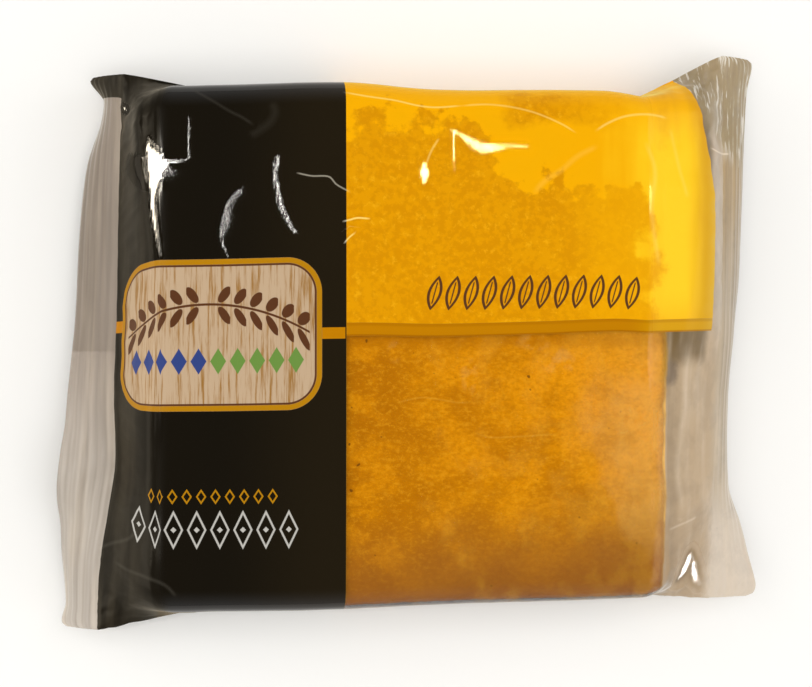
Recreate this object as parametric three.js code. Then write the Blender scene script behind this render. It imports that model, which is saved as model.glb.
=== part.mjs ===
// A square of cornbread sealed in a flow-wrapped film pack, as one closed solid.
// The film is a tube that runs along X. It lies tight round the bread, closes to a flat ribbed
// seal at each end, and flares there into ears, because the flat tube is wider than the bread.
// Millimetres, +Z up. The pack lies on its back, printed face up, with the origin at the middle
// of the base of its bounding box.
import * as THREE from "three";

// The bread, which gives the pack its height and its flat top and base.
const BREAD_SIDE = 90;
const BREAD_CENTRE_X = -3.4;
const PACK_HEIGHT = 20;
const TOP_CROWN = 0.6;

// The film's section round the bread.
const TOP_RADIUS = 4.5;
const BASE_RADIUS = 3.5;
const FILM_LIFTS_BEFORE_END = 2.5;

// The end seals.
const SEAL_WIDTH = 10;
const SEAL_HEIGHT = 10.4;
const SEAL_THICKNESS = 0.8;
const SEAL_CORNER_RADIUS = 2.5;
const SEAL_BEND = 0.4;
const RIB_COUNT = 6;
const RIB_HEIGHT = 0.25;
const LEAVING_PULL = 7;
const ARRIVING_PULL = 5;

// Each end: which way it points, where its flat tube lies in Y, the line at which the seal
// starts (X by Y), how far the seal hangs below level (degrees by Y), and for how much of the
// slope its upper film stays level before it falls (share by Y).
const LEFT_END = {
  way: -1,
  centreY: -3,
  halfWidth: 48.1,
  earReach: 9,
  startX: curveThrough([
    [-51.5, -56.7],
    [-40, -56.2],
    [-30, -54.7],
    [-22, -53.6],
    [-10, -53.8],
    [5, -53.3],
    [22, -53],
    [45, -52.4],
  ]),
  droop: curveThrough([
    [-51.1, 46],
    [-47, 54],
    [-34, 38],
    [-24, 12],
    [-15, 30],
    [-1, 41],
    [17, 46],
    [30, 54],
    [41, 73],
    [45.1, 50],
  ]),
  levelShare: curveThrough([
    [-48, 0.15],
    [-30, 0.22],
    [-15, 0.2],
    [5, 0.12],
    [15, 0.2],
    [30, 0.42],
    [43, 0.55],
  ]),
};
const RIGHT_END = {
  way: 1,
  centreY: 1.5,
  halfWidth: 49.6,
  earReach: 1,
  startX: curveThrough([
    [-47.8, 53.5],
    [-40, 53.8],
    [-34, 54],
    [-12, 54.8],
    [1, 55.7],
    [51.1, 56.1],
  ]),
  droop: curveThrough([
    [-47.8, 10],
    [-41, 28],
    [-35, 40],
    [-28, 56],
    [-10, 62],
    [2, 59],
    [9, 54],
    [22, 51],
    [45, 45],
    [51.4, 36],
  ]),
  levelShare: curveThrough([
    [-48, 0.05],
    [-30, 0.1],
    [-8, 0.2],
    [3, 0.42],
    [20, 0.5],
    [38, 0.45],
    [48, 0.3],
  ]),
};

// The two long sides of the pack, Y by X at half height.
const FAR_SIDE = curveThrough([
  [-49, 42.3],
  [-39, 42.7],
  [-14, 43.8],
  [2, 42.9],
  [32, 43.4],
  [40, 42.4],
]);
const NEAR_SIDE = curveThrough([
  [-48, -47.4],
  [-22, -47.8],
  [5, -47.3],
  [32, -47.1],
  [42, -47],
]);

// A loose fold of film stands out of the near side at its left end.
const FLAP_DEPTH = 1.9;
const FLAP_END_X = -36;
const FLAP_FADE = 6;

// Gathered folds that run down the sloping ends: place in Y, half width and depth.
const LEFT_PLEATS = [
  [-33, 4, -0.7],
  [-12, 5, 0.5],
  [28, 5, -0.6],
];
const RIGHT_PLEATS = [
  [-30, 5, 0.8],
  [-4, 6, -0.6],
  [24, 5, 0.7],
  [36, 4, -0.7],
];

// How many steps the mesh takes over each stretch.
const WALL_STEPS = 2;
const CORNER_STEPS = 4;
const TOP_STEPS = 24;
const BODY_STEPS = 22;
const SLOPE_STEPS = 10;
const RIB_STEPS = 2 * RIB_COUNT;

// A smooth function through a few [place, value] pairs, level outside them.
function curveThrough(pairs) {
  const slope = (i) => {
    const a = pairs[Math.max(i - 1, 0)];
    const b = pairs[Math.min(i + 1, pairs.length - 1)];
    return (b[1] - a[1]) / (b[0] - a[0]);
  };
  return (place) => {
    const last = pairs.length - 1;
    if (place <= pairs[0][0]) return pairs[0][1];
    if (place >= pairs[last][0]) return pairs[last][1];
    const i = pairs.findIndex((pair) => pair[0] > place) - 1;
    const span = pairs[i + 1][0] - pairs[i][0];
    const k = (place - pairs[i][0]) / span;
    return hermite(pairs[i][1], slope(i) * span, pairs[i + 1][1], slope(i + 1) * span, k);
  };
}

// The cubic that leaves a with pull p and reaches b with pull q.
function hermite(a, p, b, q, k) {
  const k2 = k * k;
  const k3 = k2 * k;
  return a * (2 * k3 - 3 * k2 + 1) + p * (k3 - 2 * k2 + k) + b * (3 * k2 - 2 * k3) + q * (k3 - k2);
}

// One half of the film's girth round the bread, from the far side over the top (or under the
// base) to the near side. across runs 1 to -1 between the sides, inset is the distance in from
// the side, down the distance from the face, and side is 1 at half height and 0 on the face.
function halfGirth(radius) {
  const wall = PACK_HEIGHT / 2 - radius;
  const edge = [];
  for (let i = 0; i < WALL_STEPS; i++) {
    const k = i / WALL_STEPS;
    edge.push({ inset: 0, down: PACK_HEIGHT / 2 - wall * k, length: wall * k, side: 1 - 0.7 * k });
  }
  for (let i = 0; i < CORNER_STEPS; i++) {
    const angle = ((Math.PI / 2) * i) / CORNER_STEPS;
    edge.push({
      inset: radius * (1 - Math.cos(angle)),
      down: radius * (1 - Math.sin(angle)),
      length: wall + radius * angle,
      side: 0.3 * (1 - i / CORNER_STEPS),
    });
  }
  const edgeLength = wall + (Math.PI / 2) * radius;
  const faceLength = BREAD_SIDE - 2 * radius;
  const girth = 2 * edgeLength + faceLength;
  const points = edge.map((p) => ({ ...p, across: 1, share: p.length / girth }));
  for (let i = 0; i <= TOP_STEPS; i++) {
    const k = i / TOP_STEPS;
    const share = (edgeLength + faceLength * k) / girth;
    points.push({ inset: radius, down: 0, side: 0, across: 1 - 2 * k, share });
  }
  for (const p of [...edge].reverse()) {
    points.push({ ...p, across: -1, share: 1 - p.length / girth });
  }
  return points;
}

// Where a girth point lies round the bread at a given X. face is 1 on top and 0 underneath.
function roundBread(point, face, x) {
  const far = FAR_SIDE(x) - point.inset;
  const near = NEAR_SIDE(x) + point.inset;
  const middle = (far + near) / 2;
  let y = middle + (point.across * (far - near)) / 2;
  if (point.across === -1) y -= flap(x) * point.side ** 2;
  const alongX = (x - BREAD_CENTRE_X) / (BREAD_SIDE / 2);
  const alongY = point.across;
  const crown = TOP_CROWN * Math.max(1 - alongX ** 2, 0) * (1 - alongY ** 2);
  const z = face === 1 ? PACK_HEIGHT - point.down + crown : point.down;
  return new THREE.Vector3(x, y, z);
}

// How far the loose fold stands out of the near side at a given X.
function flap(x) {
  const k = THREE.MathUtils.clamp((FLAP_END_X - x) / FLAP_FADE, 0, 1);
  return FLAP_DEPTH * k * k * (3 - 2 * k);
}

// The seal is a strip that curves downwards from the line where it starts. The point is on its
// upper (face 1) or lower (face 0) side, a number of half ribs out from that line.
function onSeal(point, face, end, step) {
  const across = 1 - 2 * point.share;
  const y = end.centreY + end.halfWidth * across;
  const fromCorner = SEAL_CORNER_RADIUS - end.halfWidth * (1 - Math.abs(across));
  const bite = fromCorner > 0
    ? SEAL_CORNER_RADIUS - Math.sqrt(SEAL_CORNER_RADIUS ** 2 - fromCorner ** 2)
    : 0;
  const width = ((SEAL_WIDTH - bite) * step) / RIB_STEPS;
  const droop = THREE.MathUtils.degToRad(end.droop(y));
  const bend = (2 * SEAL_BEND * droop) / SEAL_WIDTH;
  const first = droop * (1 - SEAL_BEND);
  const angle = first + bend * width;
  const ribbed = step % 2 === 1 ? RIB_HEIGHT : 0;
  const half = Math.abs(across) === 1 ? 0 : SEAL_THICKNESS / 2;
  const rise = ribbed + (face === 1 ? half : -half);
  const reach = bend === 0 ? width : (Math.sin(angle) - Math.sin(first)) / bend;
  const fall = bend === 0 ? 0 : (Math.cos(first) - Math.cos(angle)) / bend;
  return new THREE.Vector3(
    end.startX(y) + end.way * (reach + rise * Math.sin(angle)),
    y,
    SEAL_HEIGHT - fall + rise * Math.cos(angle),
  );
}

// The sloping end: each line of film leaves the bread level, lengthways, and runs into the seal.
// The upper film stays level for a share of the way.
function onSlope(point, face, end, pleats, along) {
  const from = roundBread(point, face, bodyEndX(point, end));
  const to = onSeal(point, face, end, 0);
  const droop = THREE.MathUtils.degToRad(end.droop(to.y)) * (1 - SEAL_BEND);
  const place = new THREE.Vector3(
    hermite(from.x, end.way * LEAVING_PULL, to.x, end.way * ARRIVING_PULL * Math.cos(droop), along),
    hermite(from.y, 0, to.y, 0, along),
    0,
  );
  const level = face === 1 ? end.levelShare(place.y) : 0;
  const falling = THREE.MathUtils.clamp((along - level) / (1 - level), 0, 1);
  place.z = hermite(from.z, 0, to.z, -ARRIVING_PULL * Math.sin(droop), falling);
  const middle = 4 * along * (1 - along);
  for (const [y, halfWidth, depth] of pleats) {
    const off = (place.y - y) / halfWidth;
    place.z += (face === 1 ? depth : 0.5 * depth) * middle * Math.exp(-off * off);
  }
  return place;
}

// The sides of the tube start to flare before the end of the bread, its faces only at the end.
function bodyEndX(point, end) {
  const straight = BREAD_SIDE / 2 - FILM_LIFTS_BEFORE_END - end.earReach * point.side;
  return BREAD_CENTRE_X + end.way * straight;
}

// All rings of one face, from the left cut edge to the right cut edge.
function faceRows(points, face) {
  const rows = [];
  for (let i = 0; i <= RIB_STEPS; i++) {
    rows.push(points.map((p) => onSeal(p, face, LEFT_END, RIB_STEPS - i)));
  }
  for (let i = SLOPE_STEPS - 1; i > 0; i--) {
    rows.push(points.map((p) => onSlope(p, face, LEFT_END, LEFT_PLEATS, i / SLOPE_STEPS)));
  }
  for (let i = 0; i <= BODY_STEPS; i++) {
    rows.push(
      points.map((p) => {
        const from = bodyEndX(p, LEFT_END);
        const to = bodyEndX(p, RIGHT_END);
        return roundBread(p, face, from + ((to - from) * i) / BODY_STEPS);
      }),
    );
  }
  for (let i = 1; i < SLOPE_STEPS; i++) {
    rows.push(points.map((p) => onSlope(p, face, RIGHT_END, RIGHT_PLEATS, i / SLOPE_STEPS)));
  }
  for (let i = 0; i <= RIB_STEPS; i++) {
    rows.push(points.map((p) => onSeal(p, face, RIGHT_END, i)));
  }
  return rows;
}

// The upper and lower faces share their two side lines; the cut edges close the ends.
function closedSkin(upper, lower) {
  const columns = upper[0].length;
  const positions = [];
  const triangles = [];
  const place = (p) => positions.push(p.x, p.y, p.z) / 3 - 1;
  const top = upper.map((row) => row.map(place));
  const base = lower.map((row, r) =>
    row.map((p, c) => (c === 0 || c === columns - 1 ? top[r][c] : place(p))),
  );
  const quad = (a, b, c, d) => {
    if (a !== b && b !== c && a !== c) triangles.push(a, b, c);
    if (a !== c && c !== d && a !== d) triangles.push(a, c, d);
  };
  for (let r = 0; r + 1 < top.length; r++) {
    for (let c = 0; c + 1 < columns; c++) {
      quad(top[r][c], top[r][c + 1], top[r + 1][c + 1], top[r + 1][c]);
      quad(base[r][c], base[r + 1][c], base[r + 1][c + 1], base[r][c + 1]);
    }
  }
  const last = top.length - 1;
  for (let c = 0; c + 1 < columns; c++) {
    quad(top[0][c], base[0][c], base[0][c + 1], top[0][c + 1]);
    quad(top[last][c], top[last][c + 1], base[last][c + 1], base[last][c]);
  }
  const geometry = new THREE.BufferGeometry();
  geometry.setAttribute("position", new THREE.Float32BufferAttribute(positions, 3));
  geometry.setIndex(triangles);
  return geometry;
}

// The origin goes to the middle of the base of the bounding box.
function centred(geometry) {
  geometry.computeBoundingBox();
  const box = geometry.boundingBox;
  geometry.translate(-(box.min.x + box.max.x) / 2, -(box.min.y + box.max.y) / 2, -box.min.z);
  geometry.computeVertexNormals();
  return geometry;
}

const printedFilm = new THREE.MeshStandardMaterial({
  color: 0xe8a810,
  roughness: 0.18,
  metalness: 0,
});
const upperFace = faceRows(halfGirth(TOP_RADIUS), 1);
const lowerFace = faceRows(halfGirth(BASE_RADIUS), 0);
const pack = new THREE.Mesh(centred(closedSkin(upperFace, lowerFace)), printedFilm);
pack.name = "sealed_pack";

const group = new THREE.Group();
group.add(pack);

export default group;
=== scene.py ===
# %% [markdown]
# # A cornbread square in its film pack
# The object is a square slab of cornbread, sealed in a tube of printed film. The film lies
# tight over the bread and is pressed flat at both ends. This lesson builds it in three steps:
# a flat sheet that is wrapped round, a slab of bread inside it, and one finish for each.

# %% Load the fixed frame
import math

import bpy
import numpy as np
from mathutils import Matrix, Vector


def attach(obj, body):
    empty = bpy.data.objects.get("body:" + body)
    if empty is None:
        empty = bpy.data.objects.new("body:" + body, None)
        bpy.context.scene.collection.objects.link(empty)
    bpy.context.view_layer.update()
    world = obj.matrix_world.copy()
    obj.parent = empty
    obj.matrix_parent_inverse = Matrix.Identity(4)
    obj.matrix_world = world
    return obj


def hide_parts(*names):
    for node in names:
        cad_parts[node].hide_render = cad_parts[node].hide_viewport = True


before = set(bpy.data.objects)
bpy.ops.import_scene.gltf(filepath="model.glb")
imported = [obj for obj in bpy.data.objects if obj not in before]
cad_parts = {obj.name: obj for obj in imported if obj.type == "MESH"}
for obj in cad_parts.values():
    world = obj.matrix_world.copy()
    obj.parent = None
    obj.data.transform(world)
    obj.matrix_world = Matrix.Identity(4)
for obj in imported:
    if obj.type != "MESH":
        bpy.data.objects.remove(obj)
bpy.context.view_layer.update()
PACK_NODE = "sealed_pack"
MM = 0.001

# %% [markdown]
# ## The camera and the light
# The pack lies on a pale table and is seen from almost straight above. Film is judged by its
# reflections, so the light comes first. The part of the room right above the pack is dim, so
# black print stays black. Large soft lamps stand low at the sides, where only the sloping film
# mirrors them. A broad lamp overhead gives the plain even light. It is kept out of all mirror
# images, as a polarising filter does in a studio. One small strong lamp makes the sharp glints.

# %% Camera
IMAGE_WIDTH = 812
SENSOR_WIDTH = 36.0
PIXELS_PER_MM = 5.765
CAMERA_LEAN = math.radians(9)
CAMERA_DISTANCE = 300 * MM
CAMERA_TARGET = Vector((-3.9, -1.6, 18)) * MM

lens = SENSOR_WIDTH * PIXELS_PER_MM * CAMERA_DISTANCE / MM / IMAGE_WIDTH
camera_data = bpy.data.cameras.new("camera")
camera_data.sensor_width = SENSOR_WIDTH
camera_data.lens = lens
camera_data.clip_start = 0.01
camera = bpy.data.objects.new("camera", camera_data)
bpy.context.scene.collection.objects.link(camera)
toward_camera = Vector((-math.sin(CAMERA_LEAN), 0, math.cos(CAMERA_LEAN)))
camera.location = CAMERA_TARGET + toward_camera * CAMERA_DISTANCE
camera.rotation_euler = (0, -CAMERA_LEAN, 0)
bpy.context.scene.camera = camera
bpy.context.scene.view_settings.view_transform = "Standard"
print("lens", round(lens, 1), "mm, camera at", [round(v / MM) for v in camera.location])


# %% Lamps
def soft_lamp(name, place, target, width, height, power, colour=(1, 1, 1), mirrored=True):
    """A rectangular lamp that faces a target. Places in millimetres, power in watts."""
    data = bpy.data.lights.new(name, "AREA")
    data.shape = "RECTANGLE"
    data.size = width * MM
    data.size_y = height * MM
    data.energy = power
    data.color = colour
    lamp = bpy.data.objects.new(name, data)
    lamp.location = Vector(place) * MM
    way = (Vector(place) - Vector(target)).normalized()
    lamp.rotation_euler = way.to_track_quat("Z", "Y").to_euler()
    lamp.visible_glossy = mirrored
    bpy.context.scene.collection.objects.link(lamp)
    print(name, "stands", round((Vector(place) - Vector(target)).length), "mm away")


PACK_MIDDLE = (0, 0, 10)
WARM = (1.0, 0.97, 0.92)
GLINT_LAMP = (-350, 150, 1196)
soft_lamp("glint_lamp", GLINT_LAMP, PACK_MIDDLE, 75, 75, 1.5, WARM)
soft_lamp("left_lamp", (-1150, 100, 800), PACK_MIDDLE, 1700, 1300, 10, WARM)
soft_lamp("right_lamp", (1100, -100, 750), PACK_MIDDLE, 1900, 1300, 8)
soft_lamp("top_lamp", (0, 0, 1700), PACK_MIDDLE, 1800, 1800, 16, mirrored=False)


# %% Helpers for nodes
# The room and every finish are made of shader nodes. With these, a node and what feeds it are
# one line.
def feed(tree, pin, value):
    """Gives a socket a plain value, or a link from another socket or from a Field, see below."""
    value = getattr(value, "socket", value)
    if isinstance(value, bpy.types.NodeSocket):
        tree.links.new(value, pin)
    else:
        pin.default_value = value


def add_node(tree, kind, inputs=None, **settings):
    """A node with its settings, and with its inputs fed by name or number."""
    node = tree.nodes.new(kind)
    for name, value in settings.items():
        setattr(node, name, value)
    for name, value in (inputs or {}).items():
        feed(tree, node.inputs[name], value)
    return node


def new_material(name):
    material = bpy.data.materials.new(name)
    material.use_nodes = True
    return material, material.node_tree, material.node_tree.nodes["Principled BSDF"]


# %% Room and table
ROOM_ABOVE = (0.10, 0.085, 0.06, 1)
ROOM_SIDES = (0.55, 0.545, 0.54, 1)
SIDES_UP_TO, ABOVE_FROM = 0.15, 0.95
TABLE_SIZE = 6000
TABLE_COLOUR = (0.93, 0.93, 0.92, 1)

world = bpy.data.worlds.new("room")
world.use_nodes = True
bpy.context.scene.world = world
room = world.node_tree
where = add_node(room, "ShaderNodeTexCoord").outputs["Generated"]
up = add_node(room, "ShaderNodeSeparateXYZ", {"Vector": where}).outputs["Z"]
height = add_node(room, "ShaderNodeMapRange", {"Value": up, "From Min": SIDES_UP_TO, "From Max": ABOVE_FROM})
ends = {"Factor": height.outputs["Result"], "A": ROOM_SIDES, "B": ROOM_ABOVE}
shade = add_node(room, "ShaderNodeMix", ends, data_type="RGBA")
feed(room, room.nodes["Background"].inputs["Color"], shade.outputs["Result"])

bpy.ops.mesh.primitive_plane_add(size=TABLE_SIZE * MM)
table = bpy.context.object
table.name = "table"
paint, _, body = new_material("pale_table")
body.inputs["Base Color"].default_value = TABLE_COLOUR
body.inputs["Roughness"].default_value = 0.7
table.data.materials.append(paint)
print("table", TABLE_SIZE, "mm wide")

# %% [markdown]
# ## The measures of the pack
# Everything is in millimetres. A film pack is made from one flat sheet: a machine wraps it
# round the bread, joins its long edges under the pack, and presses the tube flat across both
# ends. The measures are therefore of two kinds: the section round the bread, and for each end
# the line at which the pressed seal starts and how far the seal hangs down.

# %% Section and seals
BREAD_SIDE = 90
BREAD_CENTRE_X = -3.4
BREAD_SQUEEZED_OUT = 2.7
FILM_GAP = 0.6
UPPER_EDGE_RADIUS = 4.2
PACK_HEIGHT = 20
TOP_CROWN = 0.6
TOP_RADIUS = 4.5
BASE_RADIUS = 3.5
FILM_LIFTS_BEFORE_END = 2.5
SEAL_WIDTH = 10
SEAL_HEIGHT = 10.4
SEAL_THICKNESS = 0.3
SEAL_CORNER_RADIUS = 2.5
SEAL_BEND = 0.4
RIB_COUNT = 6
RIB_HEIGHT = 0.12
LEAVING_PULL = 7
ARRIVING_PULL = 5


def hermite(a, p, b, q, k):
    """The cubic that leaves a with pull p and reaches b with pull q."""
    k2, k3 = k * k, k * k * k
    return a * (2 * k3 - 3 * k2 + 1) + p * (k3 - 2 * k2 + k) + b * (3 * k2 - 2 * k3) + q * (k3 - k2)


def curve_through(pairs):
    """A smooth function through a few (place, value) pairs, level outside them."""
    places, values = np.array(pairs, float).T
    before = np.maximum(np.arange(len(places)) - 1, 0)
    after = np.minimum(np.arange(len(places)) + 1, len(places) - 1)
    slopes = (values[after] - values[before]) / (places[after] - places[before])

    def curve(at):
        at = np.clip(at, places[0], places[-1])
        i = np.clip(np.searchsorted(places, at, side="right") - 1, 0, len(places) - 2)
        span = places[i + 1] - places[i]
        k = (at - places[i]) / span
        return hermite(values[i], slopes[i] * span, values[i + 1], slopes[i + 1] * span, k)

    return curve


print("the film is", PACK_HEIGHT, "mm high round the bread")

# %% The two ends and the two long sides
# Each end: where its seal starts, how far the seal hangs down in degrees, and which share of
# the slope stays level, all by Y. A pleat is its Y, its half width and its height.
LEFT_END = {
    "way": -1,
    "centre_y": -3,
    "half_width": 48.1,
    "ear_reach": 9,
    "film_length": 14,
    "pleats": [(-33, 4, -0.7), (-12, 5, 0.5), (28, 5, -0.6)],
    "start_x": [
        (-51.5, -56.7), (-40, -56.2), (-30, -54.7), (-22, -53.6), (-10, -53.8), (5, -53.3),
        (22, -53), (45, -52.4),
    ],
    "droop": [
        (-51.1, 46), (-47, 54), (-34, 38), (-24, 12), (-15, 30), (-1, 41), (17, 46), (30, 54),
        (41, 73), (45.1, 50),
    ],
    "level_share": [(-48, 0.15), (-30, 0.22), (-15, 0.2), (5, 0.12), (15, 0.2), (30, 0.42), (43, 0.55)],
}
RIGHT_END = {
    "way": 1,
    "centre_y": 1.5,
    "half_width": 49.6,
    "ear_reach": 1,
    "film_length": 18.5,
    "pleats": [(-30, 5, 0.8), (-4, 6, -0.6), (24, 5, 0.7), (36, 4, -0.7)],
    "start_x": [(-47.8, 53.5), (-40, 53.8), (-34, 54), (-12, 54.8), (1, 55.7), (51.1, 56.1)],
    "droop": [
        (-47.8, 10), (-41, 28), (-35, 40), (-28, 56), (-10, 62), (2, 59), (9, 54), (22, 51),
        (45, 45), (51.4, 36),
    ],
    "level_share": [(-48, 0.05), (-30, 0.1), (-8, 0.2), (3, 0.42), (20, 0.5), (38, 0.45), (48, 0.3)],
}
for end in (LEFT_END, RIGHT_END):
    for measure in ("start_x", "droop", "level_share"):
        end[measure] = curve_through(end[measure])

FAR_SIDE = curve_through([(-49, 42.3), (-39, 42.7), (-14, 43.8), (2, 42.9), (32, 43.4), (40, 42.4)])
NEAR_SIDE = curve_through([(-48, -47.4), (-22, -47.8), (5, -47.3), (32, -47.1), (42, -47)])
FLAP_DEPTH = 1.9
FLAP_END_X = -36
FLAP_FADE = 6
print("seals", 2 * LEFT_END["half_width"], "and", 2 * RIGHT_END["half_width"], "mm long")

# %% [markdown]
# ## Where the film goes
# Each point of the sheet is named by how far round the pack it lies and how far along. Three
# functions say where it ends up: round the bread, on a seal, and on the slope between them.
# They take whole arrays, so the same few lines place a hundred thousand points at once.


# %% Round the bread
def half_girth(share, radius):
    """From the far side (share 0) to the near side (share 1).

    inset is how far the edge's rounding draws the film in, down how far it lies below the top,
    side how nearly it lies on a side wall, and across where it lies over the face, 1 to -1.
    """
    wall = PACK_HEIGHT / 2 - radius
    edge = wall + math.pi / 2 * radius
    face = BREAD_SIDE - 2 * radius
    length = share * (2 * edge + face)
    from_end = np.minimum(length, 2 * edge + face - length)
    turn = np.clip((from_end - wall) / radius, 0, math.pi / 2)
    on_wall = np.clip(from_end / wall, 0, 1)
    inset = radius * (1 - np.cos(turn))
    down = PACK_HEIGHT / 2 - wall * on_wall - radius * np.sin(turn)
    side = 1 - 0.7 * on_wall - 0.3 * turn / (math.pi / 2)
    across = np.clip(1 - 2 * (length - edge) / face, -1, 1)
    return inset, down, side, across


def girth_length(radius):
    return 2 * (PACK_HEIGHT / 2 - radius + math.pi / 2 * radius) + BREAD_SIDE - 2 * radius


def round_bread(points, x):
    far = FAR_SIDE(x) - points["inset"]
    near = NEAR_SIDE(x) + points["inset"]
    y = (far + near) / 2 + points["across"] * (far - near) / 2
    k = np.clip((FLAP_END_X - x) / FLAP_FADE, 0, 1)
    flap = FLAP_DEPTH * k * k * (3 - 2 * k)
    y = y - np.where(points["across"] <= -1, flap * points["side"] ** 2, 0)
    along = (x - BREAD_CENTRE_X) / (BREAD_SIDE / 2)
    crown = TOP_CROWN * np.maximum(1 - along**2, 0) * (1 - points["across"] ** 2)
    z = np.where(points["on_top"], PACK_HEIGHT - points["down"] + crown, points["down"])
    return np.stack(np.broadcast_arrays(x, y, z), -1)


print("film round the pack:", round(girth_length(TOP_RADIUS) + girth_length(BASE_RADIUS), 1), "mm")


# %% On a seal and on a slope
def body_end_x(points, end):
    straight = BREAD_SIDE / 2 - FILM_LIFTS_BEFORE_END - end["ear_reach"] * points["side"]
    return BREAD_CENTRE_X + end["way"] * straight


def on_seal(points, end, out):
    """out runs from 0 where the seal starts to 1 at the cut edge."""
    across = 1 - 2 * points["share"]
    y = end["centre_y"] + end["half_width"] * across
    inward = end["half_width"] * (1 - np.abs(across))
    from_corner = np.clip(SEAL_CORNER_RADIUS - inward, 0, None)
    bite = SEAL_CORNER_RADIUS - np.sqrt(SEAL_CORNER_RADIUS**2 - from_corner**2)
    width = (SEAL_WIDTH - bite) * out
    droop = np.radians(end["droop"](y))
    bend = 2 * SEAL_BEND * droop / SEAL_WIDTH
    first = droop * (1 - SEAL_BEND)
    angle = first + bend * width
    rib = RIB_HEIGHT * (1 - np.cos(2 * math.pi * RIB_COUNT * out)) / 2
    half = SEAL_THICKNESS / 2 * np.minimum(inward / SEAL_THICKNESS, 1)
    rise = rib + np.where(points["on_top"], half, -half)
    reach = (np.sin(angle) - np.sin(first)) / bend
    fall = (np.cos(first) - np.cos(angle)) / bend
    x = end["start_x"](y) + end["way"] * (reach + rise * np.sin(angle))
    z = SEAL_HEIGHT - fall + rise * np.cos(angle)
    return np.stack(np.broadcast_arrays(x, y, z), -1)


def on_slope(points, end, along):
    """along runs from 0 at the bread to 1 where the seal starts. The top stays level at first."""
    start = round_bread(points, body_end_x(points, end))
    stop = on_seal(points, end, 0.0)
    droop = np.radians(end["droop"](stop[..., 1])) * (1 - SEAL_BEND)
    x = hermite(start[..., 0], end["way"] * LEAVING_PULL, stop[..., 0],
                end["way"] * ARRIVING_PULL * np.cos(droop), along)
    y = hermite(start[..., 1], 0, stop[..., 1], 0, along)
    level = np.where(points["on_top"], end["level_share"](y), 0)
    falling = np.clip((along - level) / (1 - level), 0, 1)
    z = hermite(start[..., 2], 0, stop[..., 2], -ARRIVING_PULL * np.sin(droop), falling)
    for place, half_width, depth in end["pleats"]:
        fold = 4 * along * (1 - along) * np.exp(-(((y - place) / half_width) ** 2))
        z = z + np.where(points["on_top"], depth, depth / 2) * fold
    return np.stack(np.broadcast_arrays(x, y, z), -1)


print("each end: seal", SEAL_WIDTH, "mm wide, starting", SEAL_HEIGHT, "mm up")

# %% [markdown]
# ## The flat sheet
# The sheet is a grid, finer where it will be seen. Its own flat coordinates, in millimetres,
# are kept as its UV map: the print is drawn on the flat film before it is wrapped, so a
# pattern on this map follows every fold, as real print does.

# %% Rows and columns of the sheet
SEAL_ROWS = 26
LEFT_SLOPE_ROWS = 30
RIGHT_SLOPE_ROWS = 40
BODY_ROWS = 206
TOP_COLUMNS = 236
BASE_EDGE_COLUMNS = 12
BASE_FACE_COLUMNS = 20
SIDE_MIDDLE_Y = -2.1

sections = (
    [("left_seal", 1 - i / SEAL_ROWS) for i in range(SEAL_ROWS)]
    + [("left_slope", 1 - i / LEFT_SLOPE_ROWS) for i in range(LEFT_SLOPE_ROWS)]
    + [("body", i / BODY_ROWS) for i in range(BODY_ROWS)]
    + [("right_slope", i / RIGHT_SLOPE_ROWS) for i in range(RIGHT_SLOPE_ROWS)]
    + [("right_seal", i / SEAL_ROWS) for i in range(SEAL_ROWS + 1)]
)
top_girth = girth_length(TOP_RADIUS)
base_girth = girth_length(BASE_RADIUS)
base_edge = (base_girth - BREAD_SIDE + 2 * BASE_RADIUS) / 2 / base_girth
near_base = np.concatenate([
    np.linspace(0.5, 1 - base_edge, BASE_FACE_COLUMNS, endpoint=False),
    np.linspace(1 - base_edge, 1, BASE_EDGE_COLUMNS, endpoint=False),
])
top_shares = np.linspace(1, 0, TOP_COLUMNS, endpoint=False)
far_base = 1 - np.append(near_base, 1)[::-1]
share = np.concatenate([near_base, top_shares, far_base])
on_top = np.concatenate([near_base < 0, top_shares >= 0, far_base < 0])
on_top[len(near_base)] = True
v_of_column = np.concatenate([
    SIDE_MIDDLE_Y - top_girth / 2 - (1 - near_base) * base_girth,
    SIDE_MIDDLE_Y + (0.5 - top_shares) * top_girth,
    SIDE_MIDDLE_Y + top_girth / 2 + far_base * base_girth,
])
print(len(sections), "rows by", len(share), "columns")

# %% Lay the sheet's points round the pack
top_part = half_girth(share, TOP_RADIUS)
base_part = half_girth(share, BASE_RADIUS)
points = {"share": share, "on_top": on_top}
for name, on_the_top, on_the_base in zip(("inset", "down", "side", "across"), top_part, base_part):
    points[name] = np.where(on_top, on_the_top, on_the_base)

rows, u_rows = [], []
ends = {"left": LEFT_END, "right": RIGHT_END}
for section, k in sections:
    if section == "body":
        left, right = body_end_x(points, LEFT_END), body_end_x(points, RIGHT_END)
        x = left + (right - left) * k
        rows.append(round_bread(points, x))
        u_rows.append(x)
        continue
    end = ends[section.split("_")[0]]
    flat_end = BREAD_CENTRE_X + end["way"] * (BREAD_SIDE / 2 - FILM_LIFTS_BEFORE_END)
    root = flat_end + end["way"] * end["film_length"]
    if section.endswith("slope"):
        rows.append(on_slope(points, end, k))
        from_x = body_end_x(points, end)
        u_rows.append(from_x + (root - from_x) * k)
    else:
        rows.append(on_seal(points, end, k))
        u_rows.append(np.full(len(share), root + end["way"] * SEAL_WIDTH * k))
skin = np.array(rows)
film_u = np.array(u_rows)
film_v = np.tile(v_of_column, (len(rows), 1))

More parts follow.
